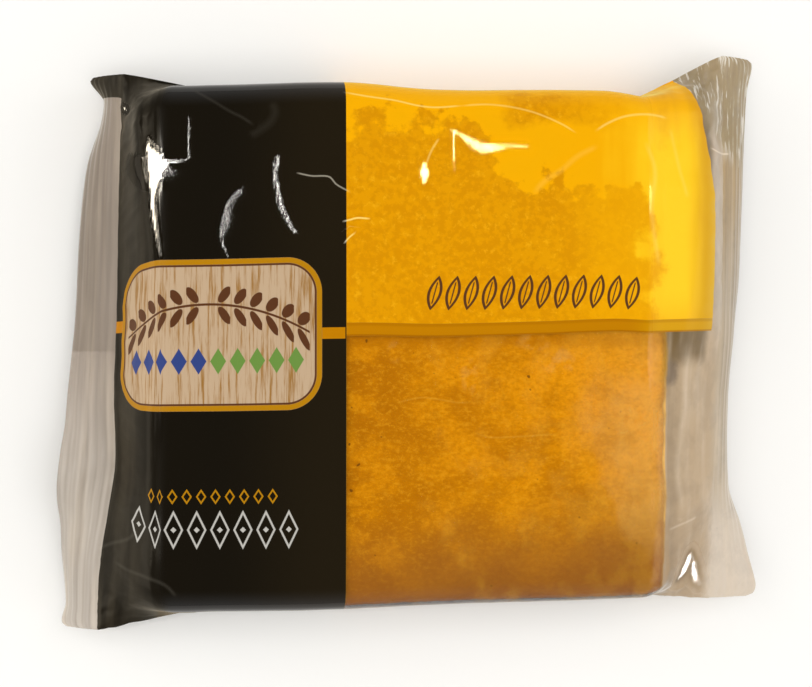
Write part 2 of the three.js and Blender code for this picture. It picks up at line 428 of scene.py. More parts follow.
# At the right end the print runs on straight, because the slack of the film is all at its sides.
SLACK_SHARE = 0.35
slope_from = SEAL_ROWS + LEFT_SLOPE_ROWS + BODY_ROWS
moved = skin[slope_from:, :, 1] - skin[slope_from, :, 1]
film_v[slope_from:] += moved * np.clip((1 - np.abs(points["across"])) / SLACK_SHARE, 0, 1) * on_top
for name, way in (("u", film_u), ("v", film_v)):
    print("film map", name, "from", way.min().round(1), "to", way.max().round(1), "mm")

# %% [markdown]
# ## Wrinkles
# Stretched film never lies quite flat. It shows gentle lumps where the bread is uneven, long
# sharp creases, and a dense crumple where the tube is gathered into the seals. All of them are
# real shape here, because film shows a wrinkle only through its reflection, and a reflection
# needs a slope. Seeded noise makes the fine ones, and a short list sets the main creases.


# %% Noise
NOISE_TABLE = 64


def smooth_noise(u, v, cell, seed):
    """Seeded gradient noise of about -1 to 1, with features of one cell's size."""
    angle = np.random.default_rng(seed).uniform(0, 2 * math.pi, (NOISE_TABLE, NOISE_TABLE))
    gu, gv = np.cos(angle), np.sin(angle)
    u, v = u / cell, v / cell
    iu, iv = np.floor(u).astype(int), np.floor(v).astype(int)
    fu, fv = u - iu, v - iv

    def corner(du, dv):
        a, b = (iu + du) % NOISE_TABLE, (iv + dv) % NOISE_TABLE
        return gu[a, b] * (fu - du) + gv[a, b] * (fv - dv)

    su, sv = (f * f * f * (f * (f * 6 - 15) + 10) for f in (fu, fv))
    low = corner(0, 0) * (1 - su) + corner(1, 0) * su
    high = corner(0, 1) * (1 - su) + corner(1, 1) * su
    return 1.5 * (low * (1 - sv) + high * sv)


def ridges(u, v, cell, seed):
    """Noise folded at zero: sharp crests between smooth hollows, 0 to 1."""
    return 1 - np.abs(smooth_noise(u, v, cell, seed))


def two_noises(u, v, share, cells, seeds):
    """Noise, and a share of finer noise on top of it."""
    return smooth_noise(u, v, cells[0], seeds[0]) + share * smooth_noise(u, v, cells[1], seeds[1])


def fade(value, start, reach):
    """0 up to the start, 1 beyond its reach, and a straight rise between."""
    return np.clip((value - start) / reach, 0, 1)


def step(value, edge, soft):
    """0 below the edge, 1 above it, with a soft step between."""
    k = fade(value, edge - soft, 2 * soft)
    return k * k * (3 - 2 * k)


print("noise spans", np.ptp(smooth_noise(film_u, film_v, 5, 1)).round(2))

# %% Smooth lines on the pack
LINE_STEP = 0.1


def smooth_line(knots):
    """Points close together on a smooth line. A knot is X, Y and any values that go with it."""
    knots = np.array(knots, float)
    steps = np.hypot(*np.diff(knots[:, :2], axis=0).T)
    at = np.concatenate([[0], np.cumsum(steps)])
    fine = np.linspace(0, at[-1], int(at[-1] / LINE_STEP) + 3)
    return np.stack([curve_through(list(zip(at, values)))(fine) for values in knots.T], -1)


def near_line(x, y, line, reach):
    """Places within reach of a line: which they are, the nearest point, how far, how far aside."""
    near = (x > line[:, 0].min() - reach) & (x < line[:, 0].max() + reach) & on_top
    near &= (y > line[:, 1].min() - reach) & (y < line[:, 1].max() + reach)
    dx, dy = x[near][:, None] - line[:, 0], y[near][:, None] - line[:, 1]
    nearest = np.argmin(dx * dx + dy * dy, 1)
    way = np.gradient(line[:, :2], axis=0)
    way /= np.linalg.norm(way, axis=1, keepdims=True)
    dx, dy = (x[near] - line[nearest, 0]), (y[near] - line[nearest, 1])
    return near, nearest, np.hypot(dx, dy), dx * way[nearest, 1] - dy * way[nearest, 0]


print("a line's points are", LINE_STEP, "mm apart")

# %% Creases
# Each crease: how strongly a pale painted highlight is laid along it, which also sets the height
# of its crest, half its width, then the knots of its line in millimetres.
CREASES = [
    (0.70, 0.22, [(-14.9, 41.5), (-11.2, 40.9), (-6.3, 40.3), (-1.9, 39.4), (1.2, 39.2), (5.6, 39.6)]),
    (0.45, 0.25, [(5.6, 39.6), (10.0, 39.9), (14.5, 39.5), (18.9, 38.5), (23.4, 36.7), (26.0, 35.2)]),
    (0.55, 0.30, [(29.5, 35.7), (31.5, 37.0), (34.3, 38.2), (37.1, 38.7), (40.0, 38.7), (42.6, 38.2)]),
    (0.10, 0.70, [(18.3, 24.6), (20.3, 26.8), (23.0, 28.5), (26.4, 31.3), (29.8, 33.0)]),
    (0.45, 0.28, [(1.5, 33.8), (0.1, 31.5), (-0.7, 29.4)]),
    (0.50, 0.20, [(-23.2, 27.5), (-20.6, 27.0), (-17.6, 26.9), (-16.3, 25.6), (-13.9, 24.3)]),
    (1.00, 0.22, [(-15.1, 19.3), (-13.9, 19.6), (-12.8, 19.9), (-10.6, 19.8)]),
    (0.90, 0.20, [(-15.0, 15.5), (-14.2, 16.5), (-13.2, 17.3)]),
    (0.20, 0.26, [(-5.9, -11.8), (-3.5, -11.2), (-1.3, -10.9), (1.7, -11.3), (4.8, -11.8), (7.1, -11.8)]),
    (0.22, 0.26, [(7.9, -17.0), (9.3, -17.6), (10.9, -17.9), (14.8, -17.8), (22.6, -17.4)]),
    (0.022, 0.40, [(-40.8, 41.6), (-37.5, 39.6), (-34.3, 37.7), (-32.4, 36.8), (-30.4, 35.5)]),
    (0.014, 1.10, [(-27.4, 39.5), (-26.8, 37.9), (-27.8, 35.9), (-31.1, 33.6)]),
    (0.030, 0.45, [(-53.9, -39.0), (-51.7, -40.0), (-48.5, -41.0), (-45.3, -42.4), (-43.4, -44.4)]),
    (0.035, 0.45, [(-56.8, -37.2), (-54.2, -36.0), (-51.7, -35.0), (-50.1, -33.5)]),
    (0.20, 0.60, [(38.5, 34.0), (40.2, 29.0), (39.6, 22.0), (41.0, 12.0)]),
    (0.16, 0.50, [(43.2, 36.5), (44.5, 30.0), (46.0, 24.0)]),
    (0.10, 1.20, [(46.4, -1.0), (46.6, -11.3), (45.7, -18.2), (45.0, -25.1), (46.1, -32.0)]),
    (0.16, 0.35, [(43.2, -34.6), (46.3, -33.8), (49.9, -32.9)]),
    (0.35, 0.25, [(51.5, 33.4), (54.0, 33.0), (57.5, 33.2)]),
]
CREASE_REACH = 2.4
CREASE_FADES_AT, CREASE_FADE = 1.54, 0.7
CREST = 0.09
CREST_HALF_WIDTH = 0.8

creases = [np.full(film_u.shape, start) for start in (CREASE_REACH, 0.2, 0.0, CREASE_REACH)]
crease_off, crease_width, crease_crest_and_highlight, crease_gap = creases
for pale, half_width, knots in CREASES:
    line = smooth_line(knots)
    near, nearest, gap, off = near_line(skin[..., 0], skin[..., 1], line, CREASE_REACH)
    k = nearest / (len(line) - 1)
    strength = pale * fade(-gap, -CREASE_FADES_AT, CREASE_FADE) * np.clip(k * (1 - k) * 14, 0, 1)
    closer = gap < crease_gap[near]
    for kept, made in zip(creases, (off, half_width, strength, gap)):
        kept[near] = np.where(closer, made, kept[near])
crest = CREST * np.minimum(crease_crest_and_highlight * 2, 1) * np.exp(-np.abs(crease_off) / CREST_HALF_WIDTH)
print(len(CREASES), "creases, up to", crest.max().round(2), "mm high")

# %% All wrinkles together
LUMP_HEIGHT = 0.05
# The film is gathered beyond these places on its map, and it is pressed flat in the seals.
GATHERED_FROM = (-46, 40)
GATHER_HEIGHT = 0.38
GATHER_REACH = 6.0
SEALS_FROM = (-60.0, 57.6)
SEAL_FADE = 2
PRESSED_FLAT = 0.85
EARS_FROM = (-28, 24)
EARS_FADE = 18
BASE_WRINKLES = 0.25
BASE_EDGE_FADE = 6
FILM_OVER_BREAD = 0.25


def beyond(places, ends, reach):
    """0 between two places, 1 well beyond either of them."""
    return np.maximum(fade(-places, -ends[0], reach), fade(places, ends[1], reach))


gathered = beyond(film_u, GATHERED_FROM, GATHER_REACH) ** 2
in_seal = beyond(film_u, SEALS_FROM, SEAL_FADE)
near_ear = beyond(film_v, EARS_FROM, EARS_FADE)
below = np.where(on_top, 1.0, BASE_WRINKLES)
closes = np.clip((np.abs(v_of_column[:, None] - v_of_column[[0, -1]]) / BASE_EDGE_FADE).min(1), 0, 1)

lumps = two_noises(film_u, film_v, 0.4, (11, 5), (3, 4))
folds = ridges(film_u * 0.45, film_v, 6.5, 5) + 0.6 * ridges(film_u * 0.6, film_v, 3.1, 6) - 1.2
crumple = ridges(film_u, film_v * 0.7, 4.5, 7) + 0.5 * ridges(film_u, film_v, 2.2, 8) - 1.1
wrinkle = LUMP_HEIGHT * lumps * (1 - gathered)
gathers = GATHER_HEIGHT * gathered * (1 - PRESSED_FLAT * in_seal)
wrinkle = wrinkle + gathers * (0.55 * folds + near_ear * crumple)
wrinkle = (wrinkle + crest) * below * closes

outward = np.cross(np.gradient(skin, axis=0), np.gradient(skin, axis=1))
outward /= np.maximum(np.linalg.norm(outward, axis=-1, keepdims=True), 1e-9)
skin = skin + outward * wrinkle[..., None]
skin[..., 2] = np.maximum(skin[..., 2], 0)


def bread_top(x, y):
    """How high the bread stands at a place, edges rounded, or 0 beside it."""
    half_x = (BREAD_SIDE + BREAD_SQUEEZED_OUT) / 2 - UPPER_EDGE_RADIUS
    half_y = (FAR_SIDE(x) - NEAR_SIDE(x)) / 2 - FILM_GAP - UPPER_EDGE_RADIUS
    past_x = np.clip(np.abs(x - BREAD_CENTRE_X - BREAD_SQUEEZED_OUT / 2) - half_x, 0, None)
    past_y = np.clip(np.abs(y - (FAR_SIDE(x) + NEAR_SIDE(x)) / 2) - half_y, 0, None)
    off = np.hypot(past_x, past_y) / UPPER_EDGE_RADIUS
    rounded = UPPER_EDGE_RADIUS * (1 - np.sqrt(np.clip(1 - off * off, 0, 1)))
    return np.where(off < 1, PACK_HEIGHT - FILM_GAP - rounded, 0)


# The film cannot pass through the bread: where a wrinkle would, it lies on the bread instead.
on_the_bread = bread_top(skin[..., 0], skin[..., 1]) + FILM_OVER_BREAD
skin[..., 2] = np.where(on_top, np.maximum(skin[..., 2], on_the_bread), skin[..., 2])
print("wrinkles from", wrinkle.min().round(2), "to", wrinkle.max().round(2), "mm")

# %% [markdown]
# ## Glints
# A glint is the mirror image of the small lamp in one flat side of a tiny fold. Such sides are
# finer than the sheet's grid, so they are kept as a turn of the surface, like a relief map:
# each point of the sheet stores the way that a mirror of the lamp must face there, and how
# nearly it is turned that way. One edge of a fold is sharp, and beyond the other the film
# turns away slowly. There its grain catches the light in single sparks.

# %% Where the film mirrors the lamp
# Each glint: how far it falls short of facing the lamp, how fast the film turns away at its right
# and at its left hand, in radians a millimetre, then the knots of its middle line. A knot is
# X, Y and half the glint's width there.
GLINTS = [
    (0, 0.50, 0.16, [(-48.2, 32.6, 0.1), (-47.9, 31.3, 0.6), (-47.0, 29.4, 1.4), (-46.9, 27.1, 1.3),
                     (-47.2, 25.5, 0.8), (-47.4, 23.2, 0.45), (-47.3, 20.6, 0.35), (-47.1, 18.7, 0.28),
                     (-46.7, 16.1, 0.15), (-46.2, 13.2, 0.0)]),
    (0.004, 0.030, 0.14, [(-46.9, 28.9, 1.3), (-46.2, 28.6, 1.0), (-45.3, 28.4, 0.3)]),
    (0, 0.30, 0.30, [(-46.5, 29.2, 0.5), (-44.6, 29.1, 0.25), (-43.0, 29.2, 0.12), (-41.5, 29.4, 0.05)]),
    (0, 0.32, 0.32, [(-41.5, 36.8, 0.0), (-41.2, 35.0, 0.08), (-41.3, 32.4, 0.03), (-41.2, 29.8, 0.1)]),
    (0, 0.22, 0.12, [(-26.5, 30.0, 0.12), (-26.8, 26.8, 0.10), (-26.3, 23.5, 0.16), (-25.8, 21.5, 0.20),
                     (-24.5, 18.9, 0.08), (-23.5, 17.3, 0.0)]),
    (0.016, 0.22, 0.05, [(-33.2, 24.2, 0.0), (-34.8, 22.1, 0.0), (-35.3, 19.5, 0.2), (-35.9, 17.5, 0.1)]),
    (0.010, 0.25, 0.25, [(-35.9, 17.5, 0.1), (-35.7, 15.6, 0.05), (-34.6, 12.9, 0.0)]),
    (0, 0.30, 0.30, [(4.0, 34.8, 0.16), (4.0, 32.0, 0.12), (4.3, 28.2, 0.0)]),
    (0.004, 0.20, 0.24, [(3.9, 35.3, 0.2), (5.6, 34.4, 0.35), (7.5, 33.1, 0.75), (9.5, 32.3, 0.95),
                         (11.9, 32.5, 0.55), (14.5, 32.8, 0.2), (17.3, 32.7, 0.0)]),
    (0.002, 0.25, 0.25, [(-1.1, 29.3, 0.3), (-1.1, 27.9, 0.75), (-1.1, 26.9, 0.5), (-1.1, 25.8, 0.0)]),
    (0, 0.20, 0.14, [(48.2, -39.3, 0.05), (47.7, -41.1, 0.55), (47.0, -42.8, 0.5), (46.4, -44.0, 0.1)]),
    (0, 0.20, 0.14, [(48.8, -39.6, 0.05), (49.4, -41.8, 0.5), (50.2, -43.9, 0.6), (51.2, -45.4, 0.1)]),
    (0, 0.25, 0.25, [(-52.6, 39.7, 0.0), (-52.0, 38.9, 0.25), (-51.6, 38.2, 0.0)]),
]
GLINT_REACH = 5.0
SPARKS_FROM_LEAN = 0.02
NO_GLINT = 1.0


def mirror_way(place):
    """The way that a mirror faces if it shows the small lamp, for places in millimetres."""
    ways = [np.array(spot) - place for spot in (np.array(camera.location) / MM, GLINT_LAMP)]
    half = sum(way / np.linalg.norm(way, axis=-1, keepdims=True) for way in ways)
    return half / np.linalg.norm(half, axis=-1, keepdims=True)


glint_way = mirror_way(skin)
film_lean = np.full(film_u.shape, NO_GLINT)
for short, turn_right, turn_left, knots in GLINTS:
    line = smooth_line(knots)
    near, nearest, gap, off = near_line(skin[..., 0], skin[..., 1], line, GLINT_REACH)
    turn = np.where(off > 0, turn_right, turn_left)
    lean = short + np.maximum(gap - line[nearest, 2], 0) * turn
    film_lean[near] = np.minimum(film_lean[near], lean)
own_lean = np.linalg.norm(glint_way[..., :2], axis=-1)
glint_share = np.clip(1 - film_lean / own_lean, 0, 1)
sparks = np.clip(film_lean / SPARKS_FROM_LEAN, 0, 1) * glint_share**1.5
print(len(GLINTS), "glints, at leans of up to", own_lean.max().round(2), "radians")

# %% [markdown]
# ## Sheens
# Clear film clings to the bread in places and lets go of it in others. Where it lets go, a thin
# layer of air lies under it, the film reflects more light there and looks pale. These sheens are
# painted reflections, laid into the film's colour and opacity. They could be drawn with nodes, but
# a render would work them out again for every ray. So they are worked out once for each point of
# the sheet and kept with its glints. Noise frays their edges and breaks them up.

# %% Painted sheens on the clear film
# Each painted sheen spot: its middle on the film map, and how far it reaches along and across.
SHEEN_SPOTS = [
    (-6.2, -3.6, 1.3, 2.2),
    (6.6, -6.9, 1.4, 2.6),
    (18.0, -1.8, 3.0, 1.6),
    (22.0, -4.9, 3.0, 1.9),
    (36.4, -14.4, 2.8, 2.2),
    (31.5, -16.8, 4.6, 1.2),
]
SPOT_STRENGTH = 0.7
# A thin veil of painted sheen lies right of a slanting edge, which crosses v = 0 at the first
# place. It ends at the bread's right side, well before its near side, and some way before the
# gold stripe.
VEIL_STRENGTH = 0.32
VEIL_FROM, VEIL_SLANT = (16.5, 1.8), 0.54
VEIL_LEFT, VEIL_RIGHT = (27, 3), (43.4, 0.5)
VEIL_NEAR, VEIL_FAR = (-38, 5), (-9, 5)

rag = two_noises(film_u, film_v, 0.5, (8, 3), (21, 22))
broken = step(two_noises(film_u, film_v, 0.5, (2.2, 1.0), (23, 24)), 0.0, 0.3)
veil = step(film_u + film_v * VEIL_SLANT + rag * 3, *VEIL_FROM) * step(film_u, *VEIL_LEFT)
veil *= (1 - step(film_u, *VEIL_RIGHT)) * step(film_v, *VEIL_NEAR) * (1 - step(film_v, *VEIL_FAR))
sheen = VEIL_STRENGTH * veil
for spot_u, spot_v, reach_u, reach_v in SHEEN_SPOTS:
    off = ((film_u - spot_u) / reach_u) ** 2 + ((film_v - spot_v) / reach_v) ** 2
    sheen = np.maximum(sheen, SPOT_STRENGTH * broken * step(-off - rag, -1, 0.9))
print("sheens on", round(float((sheen > 0.1).mean()) * 100, 1), "% of the film")

# %% [markdown]
# ## Wrapping the sheet
# The grid primitive is the flat film. Its points move to the places worked out above, the two
# long edges meet under the pack and are merged, and each cut end is closed with a thin face,
# so that the piece is one closed skin with its faces pointing out.


# %% Helpers for objects
def deselect():
    bpy.ops.object.select_all(action="DESELECT")


def placed(mesh, coordinates):
    mesh.vertices.foreach_set("co", np.ascontiguousarray(coordinates, np.float32).ravel())
    mesh.update()


def read(things, name, width=1, kind=np.int32):
    """One value, or a few, of each of a mesh's points, corners or faces."""
    values = np.zeros(len(things) * width, kind)
    things.foreach_get(name, values)
    return values if width == 1 else values.reshape(-1, width)


def edit_selected(kind, chosen):
    """Selects the given vertices or edges in edit mode, and nothing else."""
    bpy.ops.object.mode_set(mode="EDIT")
    bpy.ops.mesh.select_mode(type=kind)
    bpy.ops.mesh.select_all(action="DESELECT")
    bpy.ops.object.mode_set(mode="OBJECT")
    mesh = bpy.context.object.data
    (mesh.vertices if kind == "VERT" else mesh.edges).foreach_set("select", chosen)
    bpy.ops.object.mode_set(mode="EDIT")


# %% The film
deselect()
bpy.ops.mesh.primitive_grid_add(
    x_subdivisions=len(sections) - 1, y_subdivisions=len(share) - 1, size=1, calc_uvs=False
)
film = bpy.context.object
film.name = "film_wrap"
flat = read(film.data.vertices, "co", 3, np.float32)
row = np.rint((flat[:, 0] + 0.5) * (len(sections) - 1)).astype(int)
column = np.rint((flat[:, 1] + 0.5) * (len(share) - 1)).astype(int)
placed(film.data, skin[row, column] * MM)
for name, values in (("row", row), ("column", column)):
    film.data.attributes.new(name, "INT", "POINT").data.foreach_set("value", values.astype(np.int32))

edit_selected("VERT", (column == 0) | (column == len(share) - 1))
bpy.ops.mesh.remove_doubles(threshold=0.001 * MM)
bpy.ops.object.mode_set(mode="OBJECT")
for end_row in (0, len(sections) - 1):
    edit_selected("VERT", read(film.data.attributes["row"].data, "value") == end_row)
    bpy.ops.mesh.edge_face_add()
    bpy.ops.mesh.quads_convert_to_tris(quad_method="BEAUTY", ngon_method="BEAUTY")
    bpy.ops.object.mode_set(mode="OBJECT")
print(len(film.data.vertices), "points,", len(film.data.polygons), "faces")

# %% The film's map
# The merged long edges are the first column for a face on one side of them and the last column
# for a face on the other side, so each corner of a face gets a place of its own.
vertex_of = read(film.data.loops, "vertex_index")
at_row, at_column = (read(film.data.attributes[name].data, "value") for name in ("row", "column"))
at_column = np.where(at_column == len(share) - 1, 0, at_column)
starts = read(film.data.polygons, "loop_start")
loop_column = at_column[vertex_of]
highest = np.maximum.reduceat(loop_column, starts)
face_of = np.repeat(np.arange(len(starts)), np.diff(np.append(starts, len(vertex_of))))
wraps = (loop_column == 0) & (highest[face_of] > len(share) / 2)
loop_column = np.where(wraps, len(share) - 1, loop_column)
loop_row = at_row[vertex_of]
film_map = film.data.uv_layers.new(name="film")
flat_places = np.stack([film_u[loop_row, loop_column], film_v[loop_row, loop_column]], -1)
film_map.uv.foreach_set("vector", flat_places.astype(np.float32).ravel())
glints = np.stack([glint_share, sparks, sheen], -1)
for name, vectors in (("glint", glints), ("glint_way", glint_way), ("crease", np.stack(creases[:3], -1))):
    mark = film.data.attributes.new(name, "FLOAT_VECTOR", "POINT")
    mark.data.foreach_set("vector", vectors[at_row, at_column].astype(np.float32).ravel())
for name in ("row", "column"):
    film.data.attributes.remove(film.data.attributes[name])
deselect()
film.select_set(True)
bpy.context.view_layer.objects.active = film
bpy.ops.object.shade_smooth_by_angle(angle=math.radians(60))
print("sheet of", np.ptp(film_u).round(1), "by", np.ptp(film_v).round(1), "mm")

# %% [markdown]
# ## The bread
# Cornbread is baked in a sheet and cut: its top is gently domed and fine-pored, and its edges
# are worn round. A cube is bevelled to that form, remeshed into even small faces, and its skin
# is then pushed in and out by the same noise as above, so that pores and crumbs are real relief.

# %% Block with rounded edges
CORNER_RADIUS = 5.0
LOWER_EDGE_RADIUS = 6.0
VOXEL = 0.56
BREAD_NEAR, BREAD_FAR, BREAD_FOOT = -46.6, 42.0, 0.5

bread_low = np.array([BREAD_CENTRE_X - BREAD_SIDE / 2 + FILM_GAP, BREAD_NEAR, BREAD_FOOT])
bread_right = BREAD_CENTRE_X + BREAD_SIDE / 2 + BREAD_SQUEEZED_OUT
bread_high = np.array([bread_right, BREAD_FAR, PACK_HEIGHT - FILM_GAP])
middle = (bread_low + bread_high) / 2
sides = bread_high - bread_low
deselect()
bpy.ops.mesh.primitive_cube_add(size=1, location=Vector(middle * MM), scale=Vector(sides * MM))
bread = bpy.context.object
bread.name = "cornbread_square"
bpy.ops.object.transform_apply(location=True, rotation=True, scale=True)


def bevel_edges(piece, chosen, radius, segments):
    """Rounds the edges whose middle and direction pass the test."""
    edges = []
    for edge in piece.data.edges:
        a, b = (piece.data.vertices[i].co for i in edge.vertices)
        edges.append(chosen((a + b) / 2 / MM, (b - a).normalized()))
    edit_selected("EDGE", edges)
    bpy.ops.mesh.bevel(offset=radius * MM, segments=segments, affect="EDGES")
    bpy.ops.object.mode_set(mode="OBJECT")


bevel_edges(bread, lambda spot, way: abs(way.z) > 0.9, CORNER_RADIUS, 6)
bevel_edges(bread, lambda spot, way: abs(way.z) < 0.1 and spot.z > bread_high[2] - 0.1, UPPER_EDGE_RADIUS, 6)
bevel_edges(bread, lambda spot, way: abs(way.z) < 0.1 and spot.z < bread_low[2] + 0.1, LOWER_EDGE_RADIUS, 5)
even = bread.modifiers.new("even faces", "REMESH")
even.mode = "VOXEL"
even.voxel_size = VOXEL * MM
even.use_smooth_shade = True
bpy.ops.object.modifier_apply(modifier=even.name)
print("bread", sides.round(1), "mm,", len(bread.data.polygons), "faces")

# %% Crumb relief
PORE_DEPTH = 0.28
GRAIN_HEIGHT = 0.10
LUMP_RISE = 0.12
SUNK = 0.1
WALL_GAP = 0.4

co = read(bread.data.vertices, "co", 3, np.float32) / MM
normal = read(bread.data.vertices, "normal", 3, np.float32)
pick_u = co[:, 0] + 0.6 * co[:, 2]
pick_v = co[:, 1] + 0.7 * co[:, 2]
lump = two_noises(pick_u, pick_v, 0.5, (14, 6), (11, 12))
pore = np.clip(smooth_noise(pick_u, pick_v, 1.9, 13) - 0.25, 0, 1)
grain = smooth_noise(pick_u, pick_v, 1.1, 14)
push = LUMP_RISE * lump - PORE_DEPTH * pore + GRAIN_HEIGHT * grain - SUNK
along = (co[:, 0] - middle[0]) / (BREAD_SIDE / 2)
across = (co[:, 1] - middle[1]) / (BREAD_SIDE / 2)
dome = TOP_CROWN * np.clip(1 - along**2, 0, 1) * np.clip(1 - across**2, 0, 1)
co = co + normal * push[:, None]
co[:, 2] += dome * np.clip(normal[:, 2], 0, 1)

# The near wall is as wavy as the film on it, but for its foot and its right end.
by_near_wall = fade(-co[:, 1], 38, 6) * fade(co[:, 2], 5, 5) * fade(-co[:, 0], -40, 10)
co[:, 1] += by_near_wall * (NEAR_SIDE(co[:, 0]) + WALL_GAP - BREAD_NEAR)
placed(bread.data, co * MM)
print("relief from", push.min().round(2), "to", push.max().round(2), "mm")

# %% [markdown]
# ## Patterns as sums
# Print, speckle and haze are all drawn with nodes. Long chains of Math nodes are hard to read,
# so a small class lets a pattern be written as an ordinary sum: each operator adds one node.
# A colour is then laid on in coats. Each coat is a share, which varies over the surface, and
# a paint, so the list of coats reads from the ground up, as a painter would work.


# %% A value that varies over the surface
class Field:
    def __init__(self, tree, socket):
        self.tree = tree
        self.socket = socket

    def maths(self, operation, *others):
        node = add_node(self.tree, "ShaderNodeMath", operation=operation)
        for pin, value in zip(node.inputs, (self, *others)):
            feed(self.tree, pin, value)
        return Field(self.tree, node.outputs[0])

    def __add__(self, other):
        return self.maths("ADD", other)

    def __sub__(self, other):
        return self.maths("SUBTRACT", other)

    def __mul__(self, other):
        return self.maths("MULTIPLY", other)

    def size(self):
        return self.maths("ABSOLUTE")

    def most(self, other):
        """The larger of two values."""
        return self.maths("MAXIMUM", other)

    def flipped(self):
        """1 minus the value."""
        return self.maths("MULTIPLY_ADD", -1, 1)

    def above(self, edge, soft, start=0, stop=1):
        """0 below the edge, 1 above it, with a soft step between."""
        span = {"From Min": edge - soft, "From Max": edge + soft, "To Min": start, "To Max": stop}
        node = add_node(self.tree, "ShaderNodeMapRange", span, interpolation_type="SMOOTHSTEP")
        feed(self.tree, node.inputs["Value"], self)
        return Field(self.tree, node.outputs["Result"])

    def below(self, edge, soft):
        return self.above(edge, soft, 1, 0)

    def between(self, low, high, soft):
        return self.above(low, soft) * self.below(high, soft)

    def ring(self):
        """How far the value is from the middle between two whole numbers, 0 to 0.5."""
        return (self.maths("FRACT") - 0.5).size()


def painted(tree, ground, *coats):
    """A colour laid on in coats. Each coat is a share and a paint, a colour or a socket."""
    for share, paint in coats:
        a, b = ((*end, 1) if isinstance(end, tuple) else end for end in (ground, paint))
        node = add_node(tree, "ShaderNodeMix", {"Factor": share, "A": a, "B": b}, data_type="RGBA")
        ground = node.outputs["Result"]
    return ground


def axes(tree, vector):
    """The X, Y and Z of a vector."""
    return [Field(tree, out) for out in add_node(tree, "ShaderNodeSeparateXYZ", {"Vector": vector}).outputs]


def noise(tree, vector, size, detail=2.0, stretch=(1, 1, 1), roughness=0.5):
    """Noise of 0 to 1 on a vector in millimetres, with features of the given size."""
    scale = tuple(s / size for s in stretch)
    scaled = add_node(tree, "ShaderNodeMapping", {"Vector": vector, "Scale": scale}).outputs[0]
    grain = {"Vector": scaled, "Scale": 1.0, "Detail": detail, "Roughness": roughness}
    return Field(tree, add_node(tree, "ShaderNodeTexNoise", grain).outputs[0])


def srgb(r, g, b):
    """A colour given as it is seen on a screen, 0 to 255, in the linear values that shaders use."""
    return tuple((c / 255 / 12.92 if c < 11 else ((c / 255 + 0.055) / 1.055) ** 2.4) for c in (r, g, b))


print("black ink", [round(c, 4) for c in srgb(23, 18, 12)])

# %% [markdown]
# ## Effects that both finishes share
# The speckle is the crumb of the bread: it colours the bread itself, and it shows through the
# yellow print wherever the film lies against the bread. It is one node group, used twice.


# %% Node groups
def new_group(name, outputs, **numbers):
    """A group that takes a place, and numbers with their usual values, and puts out masks."""
    group = bpy.data.node_groups.new(name, "ShaderNodeTree")
    group.interface.new_socket(name="Place", in_out="INPUT", socket_type="NodeSocketVector")
    for socket, usual in numbers.items():
        made = group.interface.new_socket(name=socket, in_out="INPUT", socket_type="NodeSocketFloat")
        made.default_value = usual
    for socket in outputs:
        group.interface.new_socket(name=socket, in_out="OUTPUT", socket_type="NodeSocketFloat")
    return group, group.nodes.new("NodeGroupInput").outputs, group.nodes.new("NodeGroupOutput").inputs


def put_out(group, out, **masks):
    for name, mask in masks.items():
        feed(group, out[name.replace("_", " ")], mask)


def use_group(tree, group, place, **numbers):
    """Places a group in a material, and gives its outputs by name."""
    node = add_node(tree, "ShaderNodeGroup", {"Place": place, **numbers}, node_tree=group)
    return {out.name: Field(tree, out) for out in node.outputs}


speckle, given, out = new_group("crumb speckle", ["Speckle", "Specks"], Patchiness=0.5)
fine = noise(speckle, given["Place"], 1.3, 3.0, roughness=0.62)
broad = noise(speckle, given["Place"], 9.0, 3.0, roughness=0.55)
dots = noise(speckle, given["Place"], 1.3, 1.0)
patches = (broad - 0.5) * Field(speckle, given["Patchiness"])
put_out(speckle, out, Speckle=(fine + patches).above(0.5, 0.10), Specks=dots.above(0.79, 0.02))
print("group", speckle.name, "puts out", [s.name for s in out if s.name])

# %% [markdown]
# ## The print
# The pack is printed in flat fields: black at the left, yellow at the far right, a gold line
# between yellow and clear, and a label on the black. The label holds plain wood boards with
# two ears of grain, and rows of small ornaments stand where a pack has its words. Distances
# are in millimetres on the film map, so each measure can be checked with a ruler.

# %% Where each ink lies
INK_EDGE = 0.05
BLACK_LEFT, BLACK_RIGHT = -60.0, -14.6
EAR_IS_BLACK_FROM = (47.2, 0.9)
EAR_REACH = 14
YELLOW_RIGHT, YELLOW_FAR = 52.4, 62.0
YELLOW_CURVES_FROM = 22
YELLOW_CURVE = 0.13
YELLOW_CURVE_POWER = 1.1
# The stripe's two edges at its left end, how far it lies low there, and how it rises to the
# right: a little all along, and more beyond the bread.
STRIPE = (0.12, 2.35)
STRIPE_DROP = 0.62
STRIPE_RISE = 0.0108
STRIPE_RISES_MORE_FROM = 21.4
STRIPE_MORE_RISE = 0.021
STRIPE_NEAR_LINE = (STRIPE[0] + 0.28, 0.12)
STRIPE_FAR_LINE = (STRIPE[1] - 0.5, 0.2)
# The gold line runs on to the label from both sides. Each stub: left, right, near, far.
STUBS = [(-18.8, -14.8, -0.9, 1.0), (-60.0, -56.5, 1.4, 3.6)]

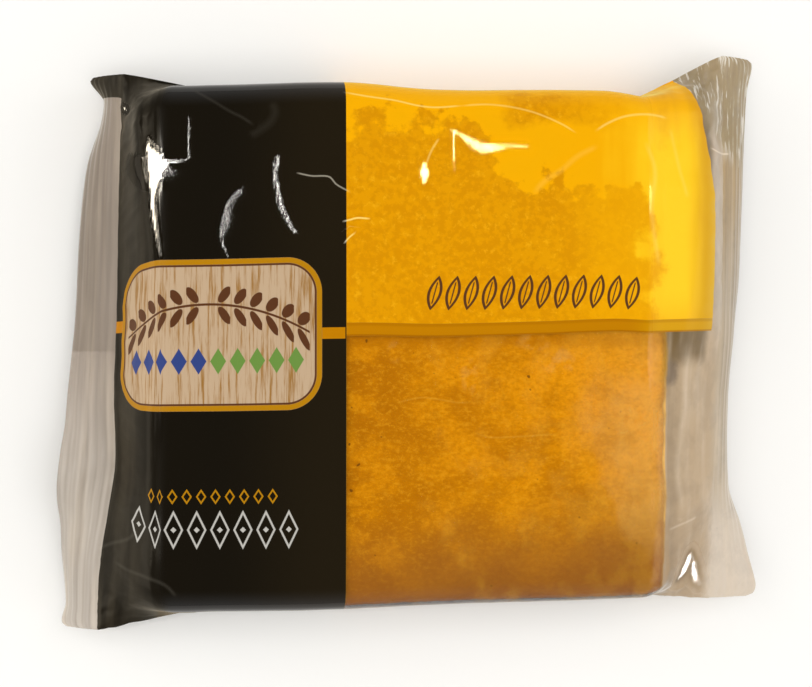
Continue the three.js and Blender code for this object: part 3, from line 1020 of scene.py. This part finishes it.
inks, given, out = new_group("ink fields", ["Black", "Yellow", "Gold", "Stripe line"])
u, v, _ = axes(inks, given["Place"])
black = (u + v.above(*EAR_IS_BLACK_FROM) * EAR_REACH).above(BLACK_LEFT, INK_EDGE)
black = black * u.below(BLACK_RIGHT, INK_EDGE)
curved = (v - YELLOW_CURVES_FROM).most(0).maths("POWER", YELLOW_CURVE_POWER) * YELLOW_CURVE
yellow = u.above(BLACK_RIGHT, INK_EDGE) * (u + curved).below(YELLOW_RIGHT, INK_EDGE)
more = (u - STRIPE_RISES_MORE_FROM).most(0) * STRIPE_MORE_RISE
risen = v - (u - BLACK_RIGHT) * STRIPE_RISE - more + STRIPE_DROP
striped = yellow * risen.between(*STRIPE, INK_EDGE)
stripe_line = risen.below(*STRIPE_NEAR_LINE) + risen.above(*STRIPE_FAR_LINE) * 0.45
yellow = yellow * risen.above(STRIPE[1], INK_EDGE) * v.below(YELLOW_FAR, INK_EDGE)
gold = striped
for left, right, low, high in STUBS:
    gold = gold.most(u.between(left, right, INK_EDGE) * v.between(low, high, INK_EDGE))
put_out(inks, out, Black=black, Yellow=yellow, Gold=gold, Stripe_line=striped * stripe_line)
print("black from", BLACK_LEFT, "to", BLACK_RIGHT, "mm")

# %% The label
LABEL_CENTRE = (-38.1, 0.1)
LABEL_HALF = (19.3, 12.8)
LABEL_CORNER = 6.0
LABEL_BORDER = 0.9
LABEL_INNER_LINE = 0.35
BOARD_STREAK = 0.62

label, given, out = new_group("label", ["Inside", "Border", "Boards", "Brown", "Blue", "Green"])
lu, lv, _ = axes(label, given["Place"])
lu, lv = lu - LABEL_CENTRE[0], lv - LABEL_CENTRE[1]
past_u, past_v = ((at.size() - (half - LABEL_CORNER)).most(0) for at, half in zip((lu, lv), LABEL_HALF))
from_corner = (past_u * past_u + past_v * past_v).maths("SQRT")
inside = from_corner.below(LABEL_CORNER, INK_EDGE)
border_from = LABEL_CORNER - LABEL_BORDER
field = from_corner.below(border_from, INK_EDGE)
inner_line = from_corner.between(border_from - LABEL_INNER_LINE, border_from, INK_EDGE)
boards = noise(label, given["Place"], BOARD_STREAK, 4.0, stretch=(1, 0.05, 1), roughness=0.66)

# Two ears of grain bend over the middle: pairs of kernels along a stalk.
EAR_GRAINS = 6
EAR_PITCH = 2.7
EAR_START = 1.0
KERNEL_OFF_STALK = 1.75
KERNEL_HALF = 1.05
KERNEL_SHAPE = (1.5, 0.55)
STALK_HALF = 0.2
EAR_TOP = 5.2
EAR_BEND = 0.017
mirrored = lu.size()
off_stalk = (lv + mirrored * mirrored * EAR_BEND - EAR_TOP).size()
cell = (mirrored - EAR_START) * (1 / EAR_PITCH)
in_cell = (cell.maths("FRACT") - 0.5) * EAR_PITCH
lean = in_cell - off_stalk * 0.5 + 0.5
across_kernel = off_stalk - KERNEL_OFF_STALK
kernel = (lean * lean * KERNEL_SHAPE[0] + across_kernel * across_kernel * KERNEL_SHAPE[1]).maths("SQRT")
kernels = kernel.below(KERNEL_HALF, 0.06) * cell.above(0, 0.001) * cell.below(EAR_GRAINS, 0.001)
stalk = off_stalk.below(STALK_HALF, 0.05) * mirrored.below(EAR_START + EAR_PITCH * EAR_GRAINS, 0.05)

# Under them stands a row of lozenges, blue at the left and green at the right.
LOZENGE_PITCH = 3.3
LOZENGE_V = -4.4
LOZENGE_HALF = (1.35, 2.2)
LOZENGE_ROW_HALF = 16.5
row_v = (lv - LOZENGE_V).size() * (1 / LOZENGE_HALF[1])
row_u = (lu * (1 / LOZENGE_PITCH)).ring() * (LOZENGE_PITCH / LOZENGE_HALF[0])
lozenge = (row_u + row_v).below(1.0, 0.05) * mirrored.below(LOZENGE_ROW_HALF, 0.05)
put_out(label, out, Inside=inside, Border=inside * field.flipped(), Boards=boards,
        Brown=(kernels.most(stalk) * field).most(inner_line),
        Blue=lozenge * lu.below(0, 0.05), Green=lozenge * lu.above(0, 0.05))
print("label", 2 * LABEL_HALF[0], "by", 2 * LABEL_HALF[1], "mm")

# %% The small ornaments
# Each row: left, right, low and high edge on the film map, and the pitch of its shapes.
ORNAMENTS = {
    "Gold row": (-50.2, -26.0, -28.4, -25.8, 2.42),
    "White row": (-53.7, -22.5, -36.0, -29.4, 3.9),
    "Brown row": (-0.9, 37.7, 4.2, 10.2, 3.22),
}
LEAF_LEAN = 0.28
LEAF_WIDTH = 1.25
MIDRIB_HALF = 0.12
MIDRIB_REACH = 0.62
ornaments, given, out = new_group("ornaments", list(ORNAMENTS))
ou, ov, _ = axes(ornaments, given["Place"])


def thin_lozenge(su, sv, half_width, half_height, line):
    """The outline of a lozenge round the middle of each cell."""
    reach = su.size() * (1 / half_width) + sv.size() * (1 / half_height)
    return reach.between(1 - line / half_width, 1.0, 0.05)


def leaf(su, sv, half_height, line):
    """An outlined leaf that leans to one side, with a short midrib."""
    off_rib = (su - sv * LEAF_LEAN).size()
    reach = (sv * (1 / half_height)).size()
    width = (reach * reach).flipped().most(0.001) * LEAF_WIDTH
    midrib = off_rib.below(MIDRIB_HALF, 0.04) * reach.below(MIDRIB_REACH, 0.05)
    return (off_rib - width).between(-line, 0.0, 0.05).most(midrib) * reach.below(1.0, 0.02)


for name, (left, right, low, high, pitch) in ORNAMENTS.items():
    count = round((right - left) / pitch)
    pitch = (right - left) / count
    su = (((ou - left) * (1 / pitch)).maths("FRACT") - 0.5) * pitch
    sv = ov - (low + high) / 2
    half = (high - low) / 2
    if name == "Gold row":
        shape = thin_lozenge(su, sv, pitch * 0.36, half, 0.32)
    elif name == "White row":
        dot = (su.size() + sv.size()).below(0.5, 0.05)
        shape = thin_lozenge(su, sv, pitch * 0.42, half, 0.36).most(dot)
    else:
        shape = leaf(su, sv, half, 0.5)
    feed(ornaments, out[name], shape * ou.between(left, right, 0.04) * ov.between(low, high, 0.04))
    print(name, count, "times", round(pitch, 2), "mm")

# %% [markdown]
# ## The finish of the film
# Film is a thin clear skin with a gloss of its own. Where it is printed it is opaque. Where it
# lies clear against the bread it almost disappears, and where it hangs free it looks hazy. So
# the body colour and the opacity vary with the print, while the gloss lies over everything:
# it is a separate glossy layer, stronger at a slant, and it stays on the clear parts too. The
# share is worked out from the Facing output, which is alike on both sides of a film. A Fresnel
# node would make the inner side a mirror, and the bread would lie in the dark.

# %% The film's paints
INK_BLACK = srgb(16, 12, 6)
INK_BLACK_WARM = srgb(34, 26, 12)
BLACK_SLOPE_SHEEN = srgb(46, 41, 32)
INK_YELLOW = srgb(240, 170, 0)
INK_YELLOW_BRIGHT = srgb(250, 200, 28)
INK_YELLOW_DEEP = srgb(208, 136, 0)
INK_YELLOW_FLECK = srgb(228, 158, 2)
INK_YELLOW_SPARK = srgb(242, 182, 30)
INK_YELLOW_OLIVE = srgb(210, 152, 0)
INK_YELLOW_CORNER = srgb(214, 142, 24)
INK_GOLD = srgb(178, 124, 6)
INK_STRIPE = srgb(188, 122, 0)
INK_STRIPE_BRIGHT = srgb(206, 150, 2)
INK_STRIPE_LINE = srgb(156, 90, 0)
INK_BROWN = srgb(88, 52, 30)
INK_BLUE = srgb(48, 66, 128)
INK_GREEN = srgb(104, 140, 64)
INK_WHITE = srgb(186, 184, 178)
BOARD_PALE = srgb(190, 164, 134)
BOARD_DARK = srgb(152, 110, 52)
HAZE_LEFT_SHADED = srgb(172, 156, 140)
HAZE_LEFT_LIT = srgb(200, 189, 176)
HAZE_RIGHT = srgb(190, 164, 130)
HAZE_SEAL = srgb(190, 172, 146)
HAZE_SEAL_FAR = srgb(190, 160, 112)
HAZE_SEAL_NEAR = srgb(220, 205, 186)
HAZE_RIB = srgb(124, 110, 94)
HAZE_STREAK = srgb(226, 208, 184)
HAZE_PAINTED_SHADOW = srgb(150, 126, 92)
HAZE_EAR = srgb(158, 137, 94)
HAZE_SHADOW_UNDER_STRIPE = srgb(112, 88, 44)
HAZE_SHADOW_SPOT = srgb(84, 66, 46)
HAZE_ON_BREAD = srgb(246, 186, 56)
HAZE_SHEEN = srgb(246, 190, 88)
HAZE_CRUST_AND_SHADE = srgb(140, 98, 44)
HAZE_WALL_SHADE_LOW = srgb(92, 64, 32)
WHITENED_WRINKLE_AND_HIGHLIGHT = srgb(250, 244, 232)
CREASE_HIGHLIGHT_ON_BLACK = srgb(214, 206, 186)
CREASE_HIGHLIGHT_ON_YELLOW = srgb(255, 226, 120)
CREASE_HIGHLIGHT_ON_BREAD = srgb(248, 190, 60)

film_finish, tree, body = new_material("printed_film")
place = add_node(tree, "ShaderNodeUVMap", uv_map="film").outputs["UV"]
fu, fv, _ = axes(tree, place)
ink = use_group(tree, inks, place)
tag = use_group(tree, label, place)
trim = use_group(tree, ornaments, place)
crumb = use_group(tree, speckle, place, Patchiness=0.5)
print("film colours and", len(ink) + len(tag) + len(trim), "masks of the print")

# %% What the film lies on
# Here and below, an edge is given as a place on the film map and how soft it is, both in
# millimetres. The rag is added to a place where an edge should wander, as a torn one does.
RAG_SIZE, RAG_REACH = 9.0, 26
LOOSE_FROM, LOOSE_SLOPE, LOOSE_MOST = 25.0, 1.3, 11.5
BREAD_SEEN_FROM, BREAD_SEEN_TO = -48.0, 43.4
WALL_FROM, WALL_TO, WALL_SHADE_FROM = (-48.6, 0.8), (-66.0, 5.0), (-55.0, 4.0)


def stored(name):
    """The three values that each point of the sheet keeps under a name."""
    return axes(tree, add_node(tree, "ShaderNodeAttribute", attribute_name=name).outputs["Vector"])


# The stored crease values say where the painted crease highlights lie and how strong they are.
crease_off, crease_width, crease_crest_and_highlight = stored("crease")
crease = crease_off.size().maths("DIVIDE", crease_width).flipped().most(0) * crease_crest_and_highlight
glint, glint_sparks, sheen = stored("glint")
ragged = (noise(tree, place, RAG_SIZE, 5.0, roughness=0.60) - 0.5) * RAG_REACH
free_from = ((fu * -1 + 17.0).most(0) * LOOSE_SLOPE).maths("MINIMUM", LOOSE_MOST) + LOOSE_FROM
loose = (fv - free_from + ragged).above(0, 0.8).most((fu + ragged * 1.1 + fv * 0.12).above(41.0, 2.2))
far_patch = (fu + ragged * 0.6).between(14.0, 34.0, 2.5) * (fv + ragged * 0.3).between(36.5, 42.5, 1.2)
print_on_bread = loose.flipped().most(far_patch)
over_bread = (fu + ragged * 0.1).between(BREAD_SEEN_FROM, BREAD_SEEN_TO, 0.5)
free = over_bread.flipped()
# In front of the bread's near wall the film is painted brown, partly the crust seen through and partly
# painted shade, darker further down.
crust_and_wall_shade = over_bread * fv.below(*WALL_FROM) * fv.above(*WALL_TO)
print("bread seen from", BREAD_SEEN_FROM, "to", BREAD_SEEN_TO, "mm")

# %% The printed inks
streaks = noise(tree, place, 3.0, 2.0, stretch=(1, 0.12, 1)) - 0.5
sparks = noise(tree, place, 1.5, 3.0, roughness=0.7).above(0.62, 0.08)
lengthways = noise(tree, place, 3.2, 3.0, stretch=(1, 0.11, 1), roughness=0.5)
deep_colour = painted(
    tree, INK_YELLOW_DEEP,
    (crumb["Speckle"] * 0.55, INK_YELLOW_FLECK),
    (sparks * 0.45, INK_YELLOW_SPARK),
    ((fu + ragged * 0.6).above(27.0, 8.0) * 0.6, INK_YELLOW),
)
bright = (fu + ragged * 0.3 + streaks * 12).above(37.0, 7.0) * fv.between(3.0, 38.0, 6.0)
corner = (fu + fv * 0.7 + ragged).above(70.0, 5.0) * streaks.above(0.0, 0.2)
yellow_colour = painted(
    tree, INK_YELLOW,
    (bright, INK_YELLOW_BRIGHT),
    (print_on_bread * 0.9, deep_colour),
    ((fu + streaks * 3).above(48.2, 2.2) * 0.85, INK_YELLOW_OLIVE),
    (corner * 0.6, INK_YELLOW_CORNER),
)
gold_colour = painted(
    tree, INK_STRIPE, (fu.above(39.0, 4.0), INK_STRIPE_BRIGHT), (ink["Stripe line"] * 0.75, INK_STRIPE_LINE)
)
# On the left slope the black gets grey streaks: a painted sheen, the room's reflection in crumpled film.
slope_sheen = (fu * -1 + ragged * 0.12).above(50.5, 3.0) * lengthways.above(0.5, 0.16)
black_colour = painted(tree, INK_BLACK, (fu.above(-27.0, 10.0) * 0.6, INK_BLACK_WARM), (slope_sheen, BLACK_SLOPE_SHEEN))
board_colour = painted(
    tree, BOARD_PALE,
    (tag["Boards"].above(0.56, 0.10), BOARD_DARK),
    (tag["Brown"], INK_BROWN),
    (tag["Blue"], INK_BLUE),
    (tag["Green"], INK_GREEN),
    (tag["Border"], INK_GOLD),
)
print("inks on the bread, on the seals and on the label")

# %% The haze of the clear film
# At each end the haze has ribs along the seal and streaks that run from end to end. The left seal
# is painted in a shaded and a lit copy of the haze. At the right, painted shadows darken it beside
# the bread, under the gold stripe and in one spot. Before the bread's near wall it is brown, partly
# the crust seen through and partly painted shade. The far right ear shows white wrinkles, with
# painted shade in its folds.
# The left seal is painted in a shaded copy of its haze, with a lit copy over its near part.
left_haze = painted(tree, HAZE_LEFT_SHADED, (fv.between(-84.0, -16.0, 14.0), HAZE_LEFT_LIT))
seal_haze = painted(
    tree, HAZE_SEAL, (fv.above(18.0, 14.0), HAZE_SEAL_FAR), (fv.below(-34.0, 10.0), HAZE_SEAL_NEAR)
)
# Painted shadows on the clear film at the right: a strip beside the bread, a band under the gold stripe, and
# one spot.
shadow_by_bread = (fu + ragged * 0.3).between(39.0, 46.0, 2.5)
shadow_under_stripe = (fv * -1 + ragged * 0.15).below(4.6, 1.6) * (fu + ragged * 0.1).below(51.5, 0.8)
shadow_spot_u, shadow_spot_v = fu - 44.2, fv + 6.9
shadow_spot = (shadow_spot_u * shadow_spot_u + shadow_spot_v * shadow_spot_v * 0.7 + ragged * 0.6).below(2.6, 2.6)
right_haze = painted(
    tree, HAZE_RIGHT,
    ((fu + ragged * 0.1).above(55.5, 3.0), seal_haze),
    (shadow_by_bread * 0.7, HAZE_PAINTED_SHADOW),
    (shadow_under_stripe * 0.9, HAZE_SHADOW_UNDER_STRIPE),
    (shadow_spot * 0.7, HAZE_SHADOW_SPOT),
)
bands = noise(tree, place, 1.5, 2.0, stretch=(1, 0.05, 1)).below(0.5, 0.14)
ribs = (fu * (RIB_COUNT / SEAL_WIDTH)).ring().above(0.36, 0.12)
plain_near_end = fv.between(-84.0, -20.0, 14.0) * fu.above(0.0, 1.0)
in_band = fu.above(58.0, 0.8).most(fu.below(-60.2, 0.3)) * plain_near_end.flipped()
in_ear = (fv + fu * 0.5 + ragged * 0.15).above(62.0, 3.0) * fu.above(0.0, 1.0)
strands = noise(tree, place, 0.7, 3.0, stretch=(1, 0.1, 1), roughness=0.6)
strands = strands + (noise(tree, place, 5.0, 1.0) - 0.5) * 0.45
ear_colour = painted(
    tree, HAZE_EAR,
    (strands.above(0.60, 0.05) * 0.9, WHITENED_WRINKLE_AND_HIGHLIGHT),
    # dark strands: painted shade in the ear's folds
    (strands.below(0.42, 0.05) * 0.5, HAZE_PAINTED_SHADOW),
)
wall_crust_and_shade_colour = painted(tree, HAZE_CRUST_AND_SHADE, (fv.below(*WALL_SHADE_FROM), HAZE_WALL_SHADE_LOW))
haze_colour = painted(
    tree, left_haze,
    (fu.above(0.0, 10.0), right_haze),
    (lengthways.above(0.58, 0.14) * 0.4, HAZE_STREAK),
    ((bands * 0.32 + ribs * 0.14) * in_band, HAZE_RIB),
    (over_bread, HAZE_ON_BREAD),
    (crust_and_wall_shade, wall_crust_and_shade_colour),
    # painted sheen: a painted reflection where the film lifts off the bread
    (sheen.above(0.1, 0.1), HAZE_SHEEN),
    (in_ear * 0.85, ear_colour),
)
print("haze with", RIB_COUNT, "ribs on each seal")

# %% All colours together
# Along each crease a pale line is painted: mostly a painted highlight, partly the whitening of creased film.
crease_highlight_colour = painted(
    tree, WHITENED_WRINKLE_AND_HIGHLIGHT,
    (over_bread, CREASE_HIGHLIGHT_ON_BREAD),
    (ink["Yellow"], CREASE_HIGHLIGHT_ON_YELLOW),
    (ink["Black"], CREASE_HIGHLIGHT_ON_BLACK),
)
film_colour = painted(
    tree, haze_colour,
    (ink["Yellow"], yellow_colour),
    (ink["Black"], black_colour),
    (ink["Gold"], gold_colour),
    (trim["Gold row"], INK_GOLD),
    (trim["White row"], INK_WHITE),
    (trim["Brown row"] * ink["Yellow"], INK_BROWN),
    (tag["Inside"], board_colour),
    (crease, crease_highlight_colour),
)
feed(tree, body.inputs["Base Color"], film_colour)
print("film inks mixed")

# %% How clear the film is
ALPHA_FREE = 0.62
ALPHA_CRUST_AND_SHADE = 0.72
ALPHA_SHEEN = 0.3
HAZE_PATCH = 0.14

smears = noise(tree, place, 7.0, 4.0, stretch=(1, 0.8, 1), roughness=0.6) + fu * 0.003
right_part = (fu + ragged * 0.7 + fv * 0.15).above(27.0, 6.0) * (fv + ragged * 0.2).between(-33.0, 3.0, 4.0)
clear_alpha = free * ALPHA_FREE + (smears.above(0.62, 0.10) + right_part) * HAZE_PATCH
# Painted crease highlights and painted sheens also make the clear film less clear.
clear_alpha = clear_alpha + crust_and_wall_shade * ALPHA_CRUST_AND_SHADE + sheen * ALPHA_SHEEN + crease
printed = ink["Yellow"].most(ink["Black"]).most(ink["Gold"])
opacity = (printed + printed.flipped() * clear_alpha).maths("MINIMUM", 1.0)
feed(tree, body.inputs["Alpha"], opacity)
body.inputs["Roughness"].default_value = 0.35
body.inputs["Specular IOR Level"].default_value = 0.0
print("free film hides", ALPHA_FREE, "of what is behind it")

# %% Fine wrinkles and gloss
GLOSS_ROUGHNESS = 0.08
CRUMPLED_ROUGHNESS = 0.27
GLOSS_CLEAR = (1.0, 1.0, 1.0)
GLOSS_ON_YELLOW = (1.0, 1.0, 0.42)
GLOSS_ON_CRUMPLED_BLACK = (0.56, 0.51, 0.42)
GLOSS_BEFORE_CRUST = (0.5, 0.42, 0.30)
HEAD_ON_GLOSS = 0.04
SLANT_GLOSS = 0.78
SLANT_POWER = 5
PLAIN_GRAIN = 0.012
SPARK_GRAIN = 0.16
CRINKLE = 0.08
CRINKLE_WHERE_FREE = 0.5
SLOPE_LEFT, SLOPE_RIGHT, SLOPE_SOFT = -45.8, 40.0, 2.0

own_way = add_node(tree, "ShaderNodeNewGeometry").outputs["Normal"]
lamp_way = add_node(tree, "ShaderNodeAttribute", attribute_name="glint_way").outputs["Vector"]
turned = add_node(tree, "ShaderNodeMix", {"Factor": glint, "A": own_way, "B": lamp_way}, data_type="VECTOR")
even = glint.below(0.1, 0.1)
crinkle = noise(tree, place, 3.2, 3.0, stretch=(0.35, 1, 1)) * (free * CRINKLE_WHERE_FREE + CRINKLE) * even
grain = noise(tree, place, 0.26, 1.0) * (glint_sparks * SPARK_GRAIN + PLAIN_GRAIN)
bump = add_node(tree, "ShaderNodeBump", {
    "Distance": 0.4 * MM, "Strength": 0.5, "Height": crinkle + grain, "Normal": turned.outputs["Result"],
})
on_left_slope = fu.below(SLOPE_LEFT, SLOPE_SOFT)
crumpled = fu.above(SLOPE_RIGHT, SLOPE_SOFT).most(on_left_slope) * even
gloss_tint = painted(
    tree, GLOSS_CLEAR,
    (ink["Yellow"].most(ink["Gold"]), GLOSS_ON_YELLOW),
    (on_left_slope * ink["Black"], GLOSS_ON_CRUMPLED_BLACK),
    (crust_and_wall_shade, GLOSS_BEFORE_CRUST),
)
way = bump.outputs[0]
rough = crumpled * CRUMPLED_ROUGHNESS + GLOSS_ROUGHNESS
gloss = add_node(tree, "ShaderNodeBsdfGlossy", {"Color": gloss_tint, "Roughness": rough, "Normal": way})
slant = add_node(tree, "ShaderNodeLayerWeight", {"Blend": 0.5, "Normal": way})
feed(tree, body.inputs["Normal"], way)
glossy_share = Field(tree, slant.outputs["Facing"]).maths("POWER", SLANT_POWER) * SLANT_GLOSS + HEAD_ON_GLOSS
over = add_node(tree, "ShaderNodeMixShader", {0: glossy_share, 1: body.outputs[0], 2: gloss.outputs[0]})
feed(tree, tree.nodes["Material Output"].inputs["Surface"], over.outputs[0])
film.data.materials.append(film_finish)
print("gloss from", HEAD_ON_GLOSS, "head on to", round(HEAD_ON_GLOSS + SLANT_GLOSS, 2), "at a slant")

# %% [markdown]
# ## The finish of the bread
# Cornbread is golden yellow with a fine open crumb. Single grains of meal are dark, and it is
# matt. Its sides are painted browner, partly as baked crust and partly as painted shade, and it
# is darker still towards the foot. Its top carries painted light and shade: darker at the left and
# towards the near side, paler at the far right and the right, with a painted highlight along the
# right edge and a painted shadow under the gold stripe. Each tone is a coat laid on by noise on
# the piece's own coordinates in millimetres, so that no side is stretched and no seam shows at an
# edge.

# %% Bread material
BREAD_GOLD = srgb(206, 132, 0)
BREAD_ORANGE = srgb(230, 151, 4)
BREAD_PALE = srgb(238, 170, 58)
BREAD_AMBER = srgb(176, 106, 0)
BREAD_BROWN = srgb(138, 84, 32)
BREAD_RIM_HIGHLIGHT = srgb(250, 206, 120)
BREAD_FLECK = srgb(232, 164, 30)
SPECK = srgb(104, 60, 8)

bread_finish, tree, body = new_material("cornbread")
on_piece = add_node(tree, "ShaderNodeTexCoord").outputs["Object"]
place = add_node(tree, "ShaderNodeVectorMath", {0: on_piece, "Scale": 1 / MM}, operation="SCALE").outputs[0]
bx, by, bz = axes(tree, place)
crumb = use_group(tree, speckle, place, Patchiness=0.7)
drift = (noise(tree, place, 14.0, 4.0, roughness=0.6) - 0.5) * 34
clouds = noise(tree, place, 6.0, 4.0, stretch=(0.8, 1, 1), roughness=0.6)
streaks = noise(tree, place, 0.8, 5.0, stretch=(0.8, 1.1, 1), roughness=0.8)
flecks = noise(tree, place, 1.0, 3.0, stretch=(0.7, 1, 1)).above(0.64, 0.05)
# Painted light and shade on the bread: paler towards the far right, darker towards the near side, a painted
# highlight along the right edge and a painted shadow under the gold stripe.
far_right_light = (bx + drift).above(10.0, 14.0) * (by + drift * 0.4).above(-16.0, 9.0)
near = (by * -1 + drift * 0.3 + bx * 0.14).above(37.5, 10.0)
rim_highlight = (bx + drift * 0.04).above(42.6, 0.9) * bz.above(13.0, 2.0)
shadow_under_stripe = (by + drift * 0.03).between(-2.2, 6.0, 1.0)
feed(tree, body.inputs["Base Color"], painted(
    tree, BREAD_GOLD,
    # painted shade on the left half, painted light at the far right and the right
    ((bx * -1 + drift).above(1.0, 13.0) * 0.85, BREAD_AMBER),
    (far_right_light * 0.8, BREAD_ORANGE),
    ((bx + drift * 0.7).above(32.0, 7.0) * 0.7, BREAD_PALE),
    (clouds.below(0.46, 0.09) * 0.5, BREAD_AMBER),
    (clouds.above(0.57, 0.08) * 0.5, BREAD_ORANGE),
    (streaks.below(0.46, 0.1) * 0.44, BREAD_AMBER),
    (streaks.above(0.57, 0.08) * 0.38, BREAD_FLECK),
    (flecks * 0.1, BREAD_FLECK),
    # painted shade towards the near side
    (near * 0.88, BREAD_BROWN),
    # sides browner, partly as baked crust and partly as painted shade, then darker towards the foot
    (bz.below(17.4, 1.2) * 0.5, BREAD_BROWN),
    (bz.below(9.0, 4.0) * 0.7, BREAD_BROWN),
    # painted highlight along the right edge, then painted shadow under the gold stripe
    (rim_highlight * 0.7, BREAD_RIM_HIGHLIGHT),
    (shadow_under_stripe * 0.55, BREAD_AMBER),
    (crumb["Specks"] * 0.8, SPECK),
))
body.inputs["Roughness"].default_value = 0.8
body.inputs["Specular IOR Level"].default_value = 0.0
grainy = noise(tree, place, 0.8, 3.0)
bump = add_node(tree, "ShaderNodeBump", {"Distance": 0.25 * MM, "Strength": 0.6, "Height": grainy})
feed(tree, body.inputs["Normal"], bump.outputs[0])
bread.data.materials.append(bread_finish)
print("bread finished")

# %% [markdown]
# ## The pieces on the pack's body
# Both pieces ride on the pack's one body, and together they stand for its solid.

# %% Ride and replace
for piece, slot in ((film, "printed_film"), (bread, "bread")):
    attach(piece, "root")
    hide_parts(PACK_NODE)
